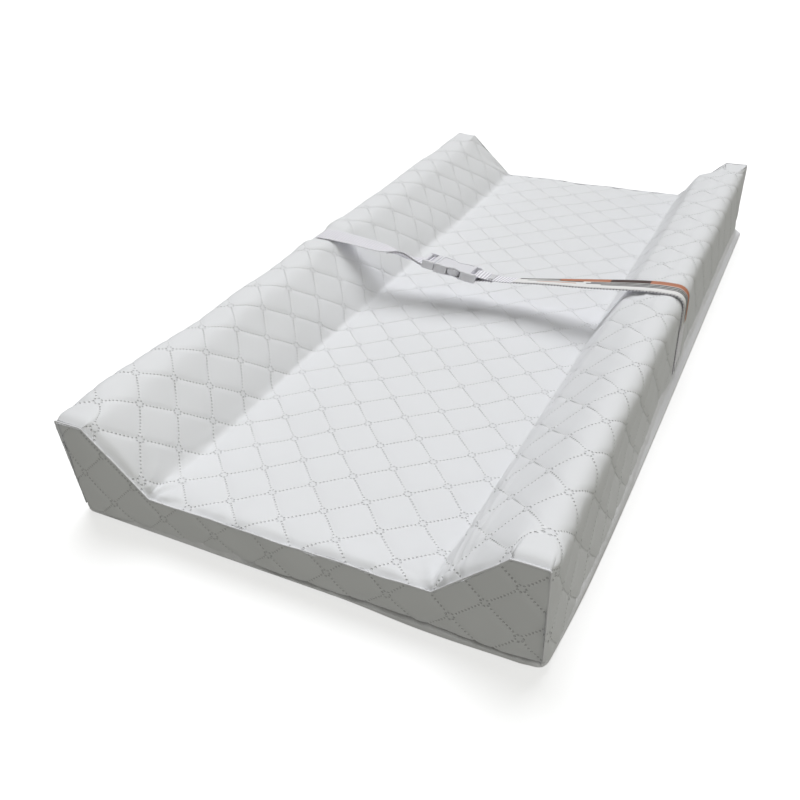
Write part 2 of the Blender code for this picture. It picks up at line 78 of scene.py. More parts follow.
# The inner slopes stand convex between the ends: how far they bulge, and at what share of the slope.
FRONT_BULGE = (0.0066, 0.30)
REAR_BULGE = (0.0135, 0.66)
LEFT_BULGE = (0.0030, 0.34)
BULGE_SHARPNESS = 13.0
EDGE_SWELL = 0.0022
FRONT_EDGE_SWELL = 0.0034
FRONT_BULGE_REACH = 0.050
REAR_BULGE_REACH = 0.040

# Quilting: weld lines cross each other every half pitch across and along the pad.
HALF_PITCH_ACROSS = 0.0246
HALF_PITCH_ALONG = 0.02325
QUILT_ORIGIN = (0.0146, -0.3163)
QUILT_SKEW = -0.058
END_QUILT_ORIGIN = (0.1845, 0.0726)
CELL_SIDE = math.hypot(HALF_PITCH_ACROSS, HALF_PITCH_ALONG)
DIVISIONS = 5
SHEET_MARGIN = 0.008
WELD_DEPTH = 0.0009
GROOVE_DEPTH = 0.00075
GROOVE_WIDTH = 0.0019
BOSS_HEIGHT = 0.0004
RING_RADIUS = 0.0031
DOTS_PER_SIDE = 11
DOTS_PER_RING = 7
DOT_RADIUS = 0.00066
# Reach of the painted highlight along each weld line: full up to the first distance, gone by the second.
WELD_HIGHLIGHT_REACH = (0.0003, 0.0016)
LATTICE_WANDER = 0.0014
PIN_MARGIN = 0.002
SLACK = 0.010
CLOTH = {
    "quality": 5,
    "mass": 0.12,
    "tension_stiffness": 20.0,
    "compression_stiffness": 20.0,
    "shear_stiffness": 8.0,
    "bending_stiffness": 0.25,
    "use_pressure": True,
    "uniform_pressure_force": 6.0,
}
CLOTH_FRAMES = 20

# Seams.
FRONT_TUCK = 0.0010
FRONT_PUFF = 0.0026
REAR_TUCK = 0.0003
EDGE_ROLL = 0.0034
FRONT_RIM = -0.0006
REAR_RIM = -0.0010
WELT_RADIUS = 0.00070
WELT_STEP = 0.0016
WELT_SIDES = 10
PUCKER_DEPTH = 0.0006
FOAM_FRONT_Y = -HALF_LENGTH + 0.0036
FOAM_EDGE_REACH = 0.0165
FOAM_EDGE_RADIUS = 0.0130
SIDE_FLANGE = 0.0070
RIGHT_FLARE = 0.0064
REAR_FLANGE = 0.0060

# Strap.
WEB_WIDTH = 0.0254
WEB_THICKNESS = 0.0014
GAP = 0.0003
WEB_LIFT = GAP + WEB_THICKNESS / 2
LEFT_STRAP_Y = -0.001
RIGHT_STRAP_Y = 0.004
SPAN_STEPS = 32
LEFT_TWIST = (math.radians(-30), 0.80, 0.14, 0.0)
RIGHT_TWIST = (math.radians(7), 0.72, 0.26, 0.0038)
TAIL_START = 0.007
TAIL_LENGTH = 0.040
LOOP_RETURN = 0.013
RIB_PITCH = 0.0032
RIB_HEIGHT = 0.00022
YARN_PITCH = 0.0011
BAND_THICKNESS = 0.0009
BAND_STEP = 0.00042
LABEL_WIDTH = 0.0250
LABEL_THICKNESS = 0.0003
LABEL_START_X = 0.026
LABEL_END_Z = 0.061
STITCH_PITCH = 0.0032
STITCH_SIZE = (0.0022, 0.00022)
TACK_STITCH_SIZE = (0.0046, 0.00034)
TACK_ROWS = 9
TACK_SPAN = (0.003, 0.009)
STRAP_BEND_RADIUS = 0.010
STRAP_PRESS = -0.0011
STRAP_SWELL = 0.0024

# Buckle axes, and the two bars that the webbing turns round.
BUCKLE_CENTRE = (-0.0395, 0.0050, 0.0780)
BUCKLE_PITCH = math.radians(10.5)
BUCKLE_YAW = math.radians(4)
BUCKLE_ROLL = math.radians(-10)
LOOP_BAR_X = 0.0278
LOOP_BAR_RADIUS = 0.0018
TONGUE_END = -0.0310
END_BAR_FACE = -0.0280
END_BAR_UNDERSIDE = -0.0010
LADDER_BAR_X = -0.0245
LADDER_BAR_RADIUS = 0.0013

# Camera and lights.
CAMERA_PLACE = (0.30288, -0.79176, 0.47828)
CAMERA_RIGHT = (0.89724, 0.44035, -0.03241)
CAMERA_UP = (-0.21717, 0.50401, 0.83595)
CAMERA_LENS = 39.58
# Each lamp's direction from the pad, spread in degrees, strength and colour.
LAMPS = (
    ("key", (-0.18, 0.46, 0.87), 46.0, 2.19, (0.965, 0.975, 1.0)),
    ("side", (0.93, -0.10, 0.35), 50.0, 0.50, (1.0, 1.0, 0.93)),
    ("front", (-0.20, -0.95, 0.25), 60.0, 0.12, (1.0, 1.0, 0.93)),
)
WORLD_COLOUR = (1.0, 1.0, 0.91, 1.0)
WORLD_STRENGTH = 0.25
STAGE_GLOW = 0.60


# Small tools.


def ease(share):
    """A smooth turn from 0 to 1."""
    share = np.clip(share, 0.0, 1.0)
    return share * share * (3 - 2 * share)


def rise(value, start, end):
    """0 up to start and 1 from end on, with a smooth turn between."""
    return ease((value - start) / (end - start))


def fall(value, start, end):
    """1 up to start and 0 from end on, with a smooth turn between."""
    return 1 - rise(value, start, end)


def mound(off, width):
    """A round rise, 1 in the middle and fading out over about twice its width."""
    return np.exp(-((off / width) ** 2))


def smooth_noise(u, v, cell, seed):
    """Seeded random heights from -1 to 1, one for each cell, joined smoothly."""
    size = 64
    heights = np.random.default_rng(seed).uniform(-1, 1, (size, size))
    a, b = u / cell, v / cell
    i, j = np.floor(a).astype(int), np.floor(b).astype(int)
    across, along = ease(a - i), ease(b - j)
    near = heights[i % size, j % size] * (1 - across) + heights[(i + 1) % size, j % size] * across
    j = j + 1
    far = heights[i % size, j % size] * (1 - across) + heights[(i + 1) % size, j % size] * across
    return near * (1 - along) + far * along


def linked(name, data):
    """A new object in the scene."""
    obj = bpy.data.objects.new(name, data)
    bpy.context.scene.collection.objects.link(obj)
    return obj


def in_scene(name, mesh, finish):
    """An object in the scene that shows the mesh in one material."""
    mesh.materials.clear()
    mesh.materials.append(finish)
    return linked(name, mesh)


def mesh_object(name, points, faces, finish):
    mesh = bpy.data.meshes.new(name)
    mesh.from_pydata([tuple(p) for p in points], [], faces)
    mesh.shade_smooth()
    return in_scene(name, mesh, finish)


def grid_object(name, grid, finish, flip=False):
    """An object of a grid of points, with its faces the other way round if asked."""
    return mesh_object(name, grid.reshape(-1, 3), grid_faces(*grid.shape[:2], flip=flip), finish)


def bead_object(name, bm, finish):
    """An object of what the bmesh holds, which it frees."""
    mesh = bpy.data.meshes.new(name)
    bm.to_mesh(mesh)
    bm.free()
    mesh.shade_smooth()
    return in_scene(name, mesh, finish)


@contextmanager
def edited(mesh):
    """A bmesh of the mesh, written back when the work on it is done."""
    bm = bmesh.new()
    bm.from_mesh(mesh)
    yield bm
    bm.to_mesh(mesh)
    bm.free()


def slice_at(bm, place, normal, beyond=False):
    """Cuts the bmesh along a plane, and removes what lies beyond it if asked."""
    geometry = bm.verts[:] + bm.edges[:] + bm.faces[:]
    bmesh.ops.bisect_plane(bm, geom=geometry, plane_co=place, plane_no=normal, clear_outer=beyond, dist=1e-6)


def join_close(bm):
    bmesh.ops.remove_doubles(bm, verts=bm.verts, dist=1e-6)


def stand_in(obj, node):
    """The piece rides the pad, and the imported part it stands in for is hidden."""
    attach(obj, "pad")
    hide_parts(node)


def set_uv(obj, name, values):
    """A UV layer with one pair for each vertex."""
    layer = obj.data.uv_layers.new(name=name)
    loops = np.empty(len(obj.data.loops), np.int32)
    obj.data.loops.foreach_get("vertex_index", loops)
    layer.data.foreach_set("uv", np.asarray(values, np.float32)[loops].ravel())


def points_of(mesh):
    points = np.empty(len(mesh.vertices) * 3)
    mesh.vertices.foreach_get("co", points)
    return points.reshape(-1, 3)


def settle_object(obj):
    """Gives a finished cover piece the pad's rounded corners and unevenness."""
    obj.data.vertices.foreach_set("co", settled(points_of(obj.data)).ravel())
    obj.data.update()


def unit(vectors):
    """The vectors of an array, each scaled to length 1."""
    return vectors / np.linalg.norm(vectors, axis=-1, keepdims=True)


def grid_faces(rows, columns, flip=False):
    """Quads of a grid whose points run along each row in turn."""
    index = np.arange(rows * columns).reshape(rows, columns)
    corners = (index[:-1, :-1], index[1:, :-1], index[1:, 1:], index[:-1, 1:])
    quads = np.stack([c.ravel() for c in corners], axis=1)
    return (quads[:, ::-1] if flip else quads).tolist()


def cut_away(obj, place, normal):
    """Removes what lies beyond the plane, on the side its normal points to."""
    with edited(obj.data) as bm:
        slice_at(bm, place, normal, beyond=True)


# Materials.


class Nodes:
    """A material's node tree, with its Principled shader at hand."""

    def __init__(self, name, colour, roughness, specular=0.5):
        self.material = bpy.data.materials.new(name)
        self.material.use_nodes = True
        self.tree = self.material.node_tree
        self.shader = self.tree.nodes["Principled BSDF"]
        self.shader.inputs["Base Color"].default_value = (*colour, 1.0)
        self.shader.inputs["Roughness"].default_value = roughness
        self.shader.inputs["Specular IOR Level"].default_value = specular
        self.material.diffuse_color = (*colour, 1.0)

    def feed(self, socket, value):
        if isinstance(value, bpy.types.NodeSocket):
            self.tree.links.new(value, socket)
        else:
            socket.default_value = value

    def add(self, kind, inputs=()):
        """A new node, its inputs fed by name or number."""
        node = self.tree.nodes.new("ShaderNode" + kind)
        for socket, value in dict(inputs).items():
            self.feed(node.inputs[socket], value)
        return node

    def calc(self, operation, *values):
        node = self.add("Math", enumerate(values))
        node.operation = operation
        return node.outputs[0]

    def times(self, first, second):
        return self.calc("MULTIPLY", first, second)

    def remainder(self, value):
        return self.calc("SUBTRACT", 1.0, value)

    def size(self, value):
        return self.calc("ABSOLUTE", value)

    def distance(self, first, second):
        squares = [self.calc("POWER", value, 2.0) for value in (first, second)]
        return self.calc("SQRT", self.calc("ADD", *squares))

    def off_line(self, value):
        """Signed distance from the nearest whole number."""
        return self.calc("SUBTRACT", value, self.calc("ROUND", value))

    def within(self, value, low, high):
        """1 where the value lies between the two, and 0 elsewhere."""
        return self.times(self.calc("GREATER_THAN", value, low), self.calc("LESS_THAN", value, high))

    def fade(self, value, near, far):
        """1 up to near, falling smoothly to 0 at far."""
        ends = {"Value": value, "From Min": near, "From Max": far, "To Min": 1.0, "To Max": 0.0}
        node = self.add("MapRange", ends)
        node.interpolation_type = "SMOOTHSTEP"
        return node.outputs["Result"]

    def mix(self, factor, first, second):
        node = self.add("Mix")
        node.data_type = "RGBA"
        for socket, value in ((0, factor), (6, first), (7, second)):
            self.feed(node.inputs[socket], value)
        return node.outputs[2]

    def uv(self, layer):
        node = self.add("UVMap")
        node.uv_map = layer
        return self.add("SeparateXYZ", {0: node.outputs["UV"]}).outputs[:2]

    def place(self):
        return self.add("TexCoord").outputs["Object"]

    def noise(self, scale):
        return self.add("TexNoise", {"Vector": self.place(), "Scale": scale, "Detail": 2.0}).outputs[0]

    def grain(self, scale):
        """Leather-like cells, from 0 in the creases to about 1."""
        return self.add("TexVoronoi", {"Vector": self.place(), "Scale": scale}).outputs["Distance"]

    def bump(self, height, distance, strength=1.0, over=None):
        node = self.add("Bump", {"Distance": distance, "Strength": strength, "Height": height})
        if over is not None:
            self.feed(node.inputs["Normal"], over)
        return node.outputs["Normal"]

    def finish(self, colour=None, normal=None):
        if colour is not None:
            self.feed(self.shader.inputs["Base Color"], colour)
        if normal is not None:
            self.feed(self.shader.inputs["Normal"], normal)
        return self.material


def dot_at(nodes, first, second):
    """A soft round dot where both distances are small."""
    return nodes.fade(nodes.distance(first, second), DOT_RADIUS * 0.55, DOT_RADIUS * 1.35)


def dotted_line(nodes, across, along):
    """Dots along one family of weld lines: metres from the line, and cells along it."""
    from_dot = nodes.off_line(nodes.times(along, DOTS_PER_SIDE))
    return dot_at(nodes, nodes.times(across, 0.90), nodes.times(from_dot, CELL_SIDE / DOTS_PER_SIDE))


def weld_pattern(nodes):
    """(dots, soft line) of the ultrasonic welds, each from 0 to 1, from the lattice coordinates. The soft
    line marks where the painted highlight goes.
    """
    a, b = nodes.uv("quilt")
    from_a, from_b = (nodes.times(nodes.off_line(value), CELL_SIDE) for value in (a, b))
    near_a, near_b = nodes.size(from_a), nodes.size(from_b)
    from_crossing = nodes.distance(near_a, near_b)
    clear = nodes.remainder(nodes.fade(from_crossing, RING_RADIUS * 1.1, RING_RADIUS * 1.35))
    lines = nodes.calc("MAXIMUM", dotted_line(nodes, near_a, b), dotted_line(nodes, near_b, a))
    turn = nodes.times(nodes.calc("ARCTAN2", from_a, from_b), DOTS_PER_RING / math.tau)
    round_ring = nodes.times(nodes.off_line(turn), math.tau * RING_RADIUS / DOTS_PER_RING)
    out_of_ring = nodes.calc("SUBTRACT", from_crossing, RING_RADIUS)
    ring = dot_at(nodes, nodes.size(out_of_ring), nodes.size(round_ring))
    dots = nodes.calc("MAXIMUM", nodes.times(lines, clear), ring)
    nearest = nodes.calc("MINIMUM", near_a, near_b)
    return dots, nodes.times(nodes.fade(nearest, *WELD_HIGHLIGHT_REACH), clear)


def floor_share(nodes):
    """1 over the trough's floor, and 0 elsewhere."""
    across = nodes.add("SeparateXYZ", {0: nodes.place()}).outputs[0]
    return nodes.fade(nodes.size(across), FLOOR_HALF_WIDTH - 0.008, FLOOR_HALF_WIDTH + 0.004)


def quilted_vinyl(name, dot_shade_strength):
    """White wipe-clean vinyl with weld dots along the quilting: painted shade in the dots and a painted
    highlight along the lines between them, with less painted dot shade on the trough's floor.
    """
    # The dark dot colour is painted shade in the weld dimples; the pale one is a painted highlight along the
    # weld lines.
    base, dot_shade, painted_highlight = (0.80, 0.806, 0.83), (0.40, 0.40, 0.41), (0.95, 0.955, 0.975)
    nodes = Nodes(name, base, 0.55, 0.35)
    dots, soft = weld_pattern(nodes)
    between = nodes.times(soft, nodes.remainder(dots))
    colour = nodes.mix(nodes.times(between, 0.45), (*base, 1.0), (*painted_highlight, 1.0))
    # Less painted dot shade over the trough's floor, where the light falls from straight above.
    lighter = nodes.times(floor_share(nodes), 0.5)
    strength = nodes.times(nodes.remainder(lighter), dot_shade_strength)
    colour = nodes.mix(nodes.times(dots, strength), colour, (*dot_shade, 1.0))
    fine = nodes.bump(nodes.grain(1400.0), 0.00004, 0.5)
    return nodes.finish(colour, nodes.bump(nodes.times(dots, -1.0), 0.0008, 1.0, over=fine))


def plain_vinyl():
    # Paler than the quilted vinyl: the extra lightness is painted light, standing in for the light the floor
    # would bounce onto the underside band.
    nodes = Nodes("plain_vinyl", (0.84, 0.84, 0.875), 0.55, 0.35)
    fine = nodes.bump(nodes.grain(1300.0), 0.00005, 0.5)
    return nodes.finish(normal=nodes.bump(nodes.noise(90.0), 0.0006, 0.35, over=fine))


def webbing_finish():
    """White polyester webbing: the ribs are modelled, and the yarns across them are not; the grooves between
    the ribs carry painted shade.
    """
    white, groove = (0.95, 0.94, 0.98, 1.0), (0.42, 0.40, 0.48, 1.0)
    nodes = Nodes("webbing", white[:3], 0.72, 0.3)
    along, across = nodes.uv("band")
    yarn = nodes.calc("SINE", nodes.times(across, math.tau / YARN_PITCH))
    from_rib = nodes.size(nodes.off_line(nodes.calc("DIVIDE", along, RIB_PITCH)))
    # Painted shade in the grooves between the ribs.
    groove_shade_mask = nodes.remainder(nodes.fade(from_rib, 0.24, 0.42))
    shade = nodes.mix(nodes.times(groove_shade_mask, 0.85), white, groove)
    weave = nodes.bump(yarn, 0.00006, 0.7)
    return nodes.finish(shade, nodes.bump(nodes.noise(1500.0), 0.00005, 0.5, over=weave))


def label_finish():
    """A white woven strip with a plain coloured edge and level bars, in place of any print."""
    white, grey = (0.84, 0.83, 0.83, 1.0), (0.045, 0.043, 0.045, 1.0)
    orange, dark = (0.50, 0.20, 0.115, 1.0), (0.075, 0.045, 0.042, 1.0)
    nodes = Nodes("label", white[:3], 0.6, 0.3)
    along, across = nodes.uv("band")
    from_rear = nodes.calc("ADD", across, LABEL_WIDTH / 2)
    colour = white
    for start, end, first, last, tone in (
        # along the strip, then from its rear edge
        (0.002, 0.046, 0.0006, 0.0046, grey),
        (0.012, 0.072, 0.0084, 0.0106, grey),
        (0.024, 0.066, 0.0136, 0.0152, orange),
        (0.080, 0.198, 0.0092, 0.0113, grey),
        (0.076, 0.206, 0.0123, 0.0144, grey),
        (0.092, 0.202, 0.0153, 0.0170, grey),
        (0.046, 0.099, 0.0004, 0.0082, orange),
        (0.099, 0.139, 0.0004, 0.0082, dark),
        (0.139, 0.400, 0.0004, 0.0082, orange),
    ):
        inside = nodes.times(nodes.within(along, start, end), nodes.within(from_rear, first, last))
        colour = nodes.mix(inside, colour, tone)
    return nodes.finish(colour, nodes.bump(nodes.noise(2400.0), 0.00004, 0.5))


def thread_finish():
    nodes = Nodes("thread", (0.80, 0.80, 0.83), 0.65, 0.3)
    return nodes.finish(normal=nodes.bump(nodes.noise(3000.0), 0.00005, 0.6))


def foam_finish():
    nodes = Nodes("foam", (0.83, 0.80, 0.68), 0.95, 0.1)
    return nodes.finish(normal=nodes.bump(nodes.grain(900.0), 0.0004, 0.8))


def plastic_finish():
    """Moulded acetal, with the faint texture of its mould."""
    nodes = Nodes("plastic", (0.815, 0.81, 0.86), 0.36, 0.5)
    return nodes.finish(normal=nodes.bump(nodes.noise(2200.0), 0.00003, 0.5))


# The contour across the pad.


def contour_corners():
    """Sharp corners of the contour from the left foot over the trough to the right foot."""
    right = [
        (FLOOR_HALF_WIDTH, FLOOR_HEIGHT),
        (BOLSTER_TOP_X, PAD_HEIGHT),
        (HALF_WIDTH, PAD_HEIGHT),
        (HALF_WIDTH, 0.0),
    ]
    left = [(-x, z) for x, z in reversed(right)]
    return [Vector(corner) for corner in left + right]


def corner_arc(before, corner, after, radius, steps=16):
    """Points along the arc that rounds one corner."""
    back = (before - corner).normalized()
    ahead = (after - corner).normalized()
    half_angle = back.angle(ahead) / 2
    centre = corner + (back + ahead).normalized() * radius / math.sin(half_angle)
    first = corner + back * radius / math.tan(half_angle) - centre
    last = corner + ahead * radius / math.tan(half_angle) - centre
    turn = first.angle_signed(last)
    return [centre + Matrix.Rotation(-turn * n / steps, 2) @ first for n in range(steps + 1)]


def contour_path(radii):
    """(x, z) points along the rounded contour, and how far each lies along it from the middle."""
    corners = contour_corners()
    path = [corners[0]]
    for index, radius in enumerate(radii, start=1):
        path += corner_arc(corners[index - 1], corners[index], corners[index + 1], radius)
    path.append(corners[-1])
    points = np.array([tuple(p) for p in path])
    lengths = np.concatenate([[0.0], np.cumsum(np.hypot(*np.diff(points, axis=0).T))])
    return points, lengths - lengths[-1] / 2


SOFT_PATH, SOFT_PLACES = contour_path(SOFT_RADII)
CRISP_PATH, CRISP_PLACES = contour_path(CRISP_RADII)
HALF_CONTOUR = SOFT_PLACES[-1]
SEAM_PLACE = HALF_CONTOUR - SEAM_HEIGHT
MIDDLE_PLACE = np.interp(0.0, SOFT_PATH[:, 0], SOFT_PLACES)
LEFT_EDGE_PLACE = PAD_HEIGHT - HALF_CONTOUR


def point_on_contour(place, softness):
    """(x, z) at places along the contour, between its crisp and its soft form."""
    crisp_place = np.interp(place, SOFT_PLACES, CRISP_PLACES)
    made = []
    for axis in (0, 1):
        soft = np.interp(place, SOFT_PLACES, SOFT_PATH[:, axis])
        crisp = np.interp(crisp_place, CRISP_PLACES, CRISP_PATH[:, axis])
        made.append(crisp + (soft - crisp) * softness)
    return made


def contour_at(place, softness=0.0):
    """x, z, and the outward normal's x and z, at places along the contour."""
    reach = 0.0012
    x, z = point_on_contour(place, softness)
    ahead_x, ahead_z = point_on_contour(place + reach, softness)
    behind_x, behind_z = point_on_contour(place - reach, softness)
    across, up = ahead_x - behind_x, ahead_z - behind_z
    length = np.maximum(np.hypot(across, up), 1e-9)
    return x, z, -up / length, across / length


def from_end(y):
    """Distance in from the nearer end seam."""
    return HALF_LENGTH - np.abs(y)


def slope_bulge(x, y):
    """How far the cover stands off the flat inner slopes, where the foam behind is convex."""
    share = np.clip((np.abs(x) - FLOOR_HALF_WIDTH) / (BOLSTER_TOP_X - FLOOR_HALF_WIDTH), 0.0, 1.0)
    rearward = rise(y, -0.22, 0.0)
    height, peak = (
        np.where(x > 0, front + (rear - front) * rearward, left)
        for front, rear, left in zip(FRONT_BULGE, REAR_BULGE, LEFT_BULGE)
    )
    near = np.exp(-BULGE_SHARPNESS * share / peak)
    far = np.exp(-BULGE_SHARPNESS * (1 - share) / (1 - peak))
    swell = -np.log(near + far) / BULGE_SHARPNESS
    reach = np.where(y < 0, FRONT_BULGE_REACH, REAR_BULGE_REACH)
    return height * swell * rise(from_end(y), 0.004, 0.004 + reach)


def softness_at(y):
    """0 at the end seams, where the panels' corners are crisp, and 1 further in."""
    return rise(from_end(y), 0.0, SOFTENING_REACH)


def outside_contour(x, z, rim):
    """Signed distance from an end panel's outline, at its rim's height, and the nearest point on it."""
    line_x, line_z, normal_x, normal_z = contour_at(np.linspace(-HALF_CONTOUR, HALF_CONTOUR, 900))
    line_x, line_z = line_x + normal_x * rim, line_z + normal_z * rim
    near = np.argmin(np.hypot(x[:, None] - line_x, z[:, None] - line_z), axis=1)
    outside = (x - line_x[near]) * normal_x[near] + (z - line_z[near]) * normal_z[near]
    return outside, line_x[near], line_z[near]


def corner_radius(x, y, z):
    """Radius of the upright corners in plan, which grows towards the foot."""
    front = np.where(x < 0, FRONT_LEFT_RADIUS, FRONT_RIGHT_RADIUS)
    radius = np.where(y < 0, front, REAR_CORNER_RADIUS)
    return radius * np.clip(1 - z / PAD_HEIGHT, 0.0, 1.0)


def foot_flare(y, z):
    """How far the right wall leans out towards its foot, near the front."""
    along = (1 - np.exp(-(y + HALF_LENGTH) / 0.060)) * fall(y, -0.24, -0.04)
    return RIGHT_FLARE * along * np.clip(1 - z / 0.055, 0.0, 1.0) ** 1.5


def left_swell(place, y):
    """How far the cover stands out along the left bolster's outer edge."""
    height = EDGE_SWELL + FRONT_EDGE_SWELL * fall(y, -0.36, -0.22)
    along = rise(beside_strap(-1.0, y), 0.004, 0.020) * rise(from_end(y), 0.0, 0.055)
    return height * along * mound(place - LEFT_EDGE_PLACE, 0.015)


def settled(points):
    """The pad as it really stands: upright corners rounded towards the foot, and gentle unevenness."""
    x, y, z = points[..., 0], points[..., 1], points[..., 2]
    radius = corner_radius(x, y, z)
    core_x = np.clip(x, radius - HALF_WIDTH, HALF_WIDTH - radius)
    core_y = np.clip(y, radius - HALF_LENGTH, HALF_LENGTH - radius)
    off_x, off_y = x - core_x, y - core_y
    square = np.maximum(np.abs(off_x), np.abs(off_y))
    shrink = square / np.maximum(np.hypot(off_x, off_y), 1e-9)
    shrink = np.where(np.minimum(np.abs(off_x), np.abs(off_y)) > 1e-7, shrink, 1.0)
    sway = 0.0011 * smooth_noise(x, y, 0.075, 41) + 0.0004 * smooth_noise(x, y, 0.028, 42)
    sway = sway + 0.0009 * fall(from_end(y), 0.0, 0.06) * smooth_noise(x, y, 0.021, 43)
    sway = sway * rise(np.abs(y), 0.03, 0.09) * rise(z, 0.015, 0.037)
    return np.stack([core_x + off_x * shrink, core_y + off_y * shrink, z + sway], axis=-1)


# Quilted sheets.


def lattice_grid(low, high, origin, skew):
    """Whole-number grid steps that cover a flat area, and where each grid point lies in it."""
    step_u, step_v = HALF_PITCH_ACROSS / DIVISIONS, HALF_PITCH_ALONG / DIVISIONS
    first_column = math.ceil((low[0] - origin[0]) / step_u)
    last_column = math.floor((high[0] - origin[0]) / step_u)
    spread = abs(skew) * max(abs(low[0] - origin[0]), abs(high[0] - origin[0]))
    first_row = math.ceil((low[1] - spread - origin[1]) / step_v)
    last_row = math.floor((high[1] + spread - origin[1]) / step_v)
    columns, rows = np.arange(first_column, last_column + 1), np.arange(first_row, last_row + 1)
    i, j = np.meshgrid(columns, rows, indexing="ij")
    u = origin[0] + i * step_u
    v = origin[1] + j * step_v + skew * (u - origin[0])
    return i, j, u, v


def on_weld(i, j):
    """Which grid points lie on a weld line."""
    return ((i + j) % (2 * DIVISIONS) == 0) | ((i - j) % (2 * DIVISIONS) == 0)


def lattice_at(i, j):
    """The lattice coordinates of grid points, whole numbers on the weld lines."""
    return (i + j) / (2 * DIVISIONS), (i - j) / (2 * DIVISIONS)


def doubled(values, axis):
    """The grid with a smoothly placed point put between each two along an axis."""
    values = np.moveaxis(values, axis, 0)
    padded = np.concatenate([2 * values[:1] - values[1:2], values, 2 * values[-1:] - values[-2:-1]])
    made = np.empty((2 * len(values) - 1, *values.shape[1:]))
    made[::2] = values
    made[1::2] = (9 * (padded[1:-2] + padded[2:-1]) - padded[:-3] - padded[3:]) / 16
    return np.moveaxis(made, 0, axis)


def refined(values):
    """The grid with its steps halved both ways."""
    return doubled(doubled(values.astype(float), 0), 1)


def inflate(points, flat, pinned, faces):
    """The sheet after its cells have filled out: air pushes it out between the pinned welds."""
    scene = bpy.context.scene
    mesh = bpy.data.meshes.new("inflating")
    mesh.from_pydata([tuple(p) for p in points.reshape(-1, 3)], [], faces)
    obj = linked("inflating", mesh)
    obj.shape_key_add(name="Basis")
    uncut = obj.shape_key_add(name="uncut")
    uncut.data.foreach_set("co", flat.reshape(-1))
    held = obj.vertex_groups.new(name="welds")
    held.add(np.flatnonzero(pinned.ravel()).tolist(), 1.0, "REPLACE")
    cloth = obj.modifiers.new("cloth", "CLOTH")
    for setting, value in CLOTH.items():
        setattr(cloth.settings, setting, value)
    cloth.settings.vertex_group_mass = "welds"
    cloth.settings.rest_shape_key = uncut
    cloth.settings.effector_weights.gravity = 0.0
    cloth.collision_settings.use_collision = False
    cloth.point_cache.frame_start = 1
    cloth.point_cache.frame_end = CLOTH_FRAMES
    for number in range(1, CLOTH_FRAMES + 1):
        scene.frame_set(number)
    filled = obj.evaluated_get(bpy.context.evaluated_depsgraph_get())
    found = points_of(filled.data).reshape(points.shape)
    bpy.data.objects.remove(obj, do_unlink=True)
    scene.frame_set(1)
    return found


def surface_normals(points):
    """Unit normals of a grid of points."""
    return unit(np.cross(np.gradient(points, axis=0), np.gradient(points, axis=1)))


def weld_relief(i, j):
    """The narrow groove along each weld, and the small boss inside each ring."""
    from_a, from_b = (np.abs(value - np.round(value)) * CELL_SIDE for value in lattice_at(i, j))
    groove = mound(np.minimum(from_a, from_b), GROOVE_WIDTH)
    boss = mound(np.hypot(from_a, from_b), RING_RADIUS * 0.75)
    return BOSS_HEIGHT * boss - GROOVE_DEPTH * groove


def beside_strap(x, y):
    """Distance from the edge of the strap on the same side of the pad, negative under it."""
    return np.abs(y - np.where(x > 0, RIGHT_STRAP_Y, LEFT_STRAP_Y)) - WEB_WIDTH / 2


def strap_press(x, y):
    """How far the strap pulls the cover in where it bears on the bolsters and walls."""
    return np.where(np.abs(x) > BOLSTER_TOP_X - 0.006, fall(beside_strap(x, y), -0.001, 0.013), 0.0)


def end_tuck(y):
    """Where the cover turns in towards its end seams, from 0 to 1."""
    return fall(from_end(y), 0.0, EDGE_ROLL)


def front_puff(y):
    """How far the first row of cells stands up behind the front seam."""
    behind = y + HALF_LENGTH
    return FRONT_PUFF * rise(behind, 0.0, 0.009) * mound(behind, 0.045)


def slope_wrinkles(place, y):
    """Long folds at the foot of the right slope near the front, and smaller ones elsewhere."""
    folds = 0.0
    for middle, start, end, slant, height, width in (
        (0.1210, -0.402, -0.235, 0.030, 0.0026, 0.0020),
        (0.1275, -0.406, -0.215, 0.034, 0.0027, 0.0022),
        (0.1345, -0.406, -0.240, 0.048, 0.0025, 0.0021),
        (0.1415, -0.404, -0.270, 0.060, 0.0020, 0.0022),
        (0.1490, -0.400, -0.310, 0.090, 0.0013, 0.0024),
        (0.1240, -0.230, -0.110, 0.020, 0.0013, 0.0022),
        (0.1310, -0.180, -0.060, -0.020, 0.0011, 0.0024),
        (0.1230, 0.100, 0.250, 0.020, 0.0013, 0.0024),
        (0.1310, 0.210, 0.370, -0.020, 0.0012, 0.0024),
        (-0.1200, -0.395, -0.320, -0.050, 0.0010, 0.0028),
        (-0.1270, -0.330, -0.230, 0.040, 0.0007, 0.0030),
        (-0.1220, 0.060, 0.190, 0.030, 0.0008, 0.0030),
    ):
        centre = MIDDLE_PLACE + middle + slant * (y - start)
        wander = 0.0012 * smooth_noise(y, np.full_like(y, middle * 40), 0.03, 8)
        fade = rise(y, start - 0.02, start + 0.01) * fall(y, end - 0.05, end)
        folds = folds + height * fade * mound(place - centre - wander, width)
    return folds


def corner_puckers(place, y):
    """Small folds that fan out from the four places where floor, slope and end seam meet."""
    folds = 0.0
    for side, end, count, phase, height in (
        (-1, -1, 9, 0.4, 0.0011),
        (1, -1, 8, 2.1, 0.0009),
        (-1, 1, 8, 1.2, 0.0008),
        (1, 1, 9, 3.0, 0.0008),
    ):
        off_place = place - MIDDLE_PLACE - side * (FLOOR_HALF_WIDTH + 0.001)
        off_y = HALF_LENGTH + 0.002 - end * y
        reach = np.hypot(off_place, off_y)
        angle = np.arctan2(off_y, off_place)
        fan = np.cos(count * angle + phase) + 0.5 * np.cos(1.7 * count * angle - phase)
        folds = folds + height * fan * rise(reach, 0.0, 0.008) * mound(reach, 0.030)
    return folds


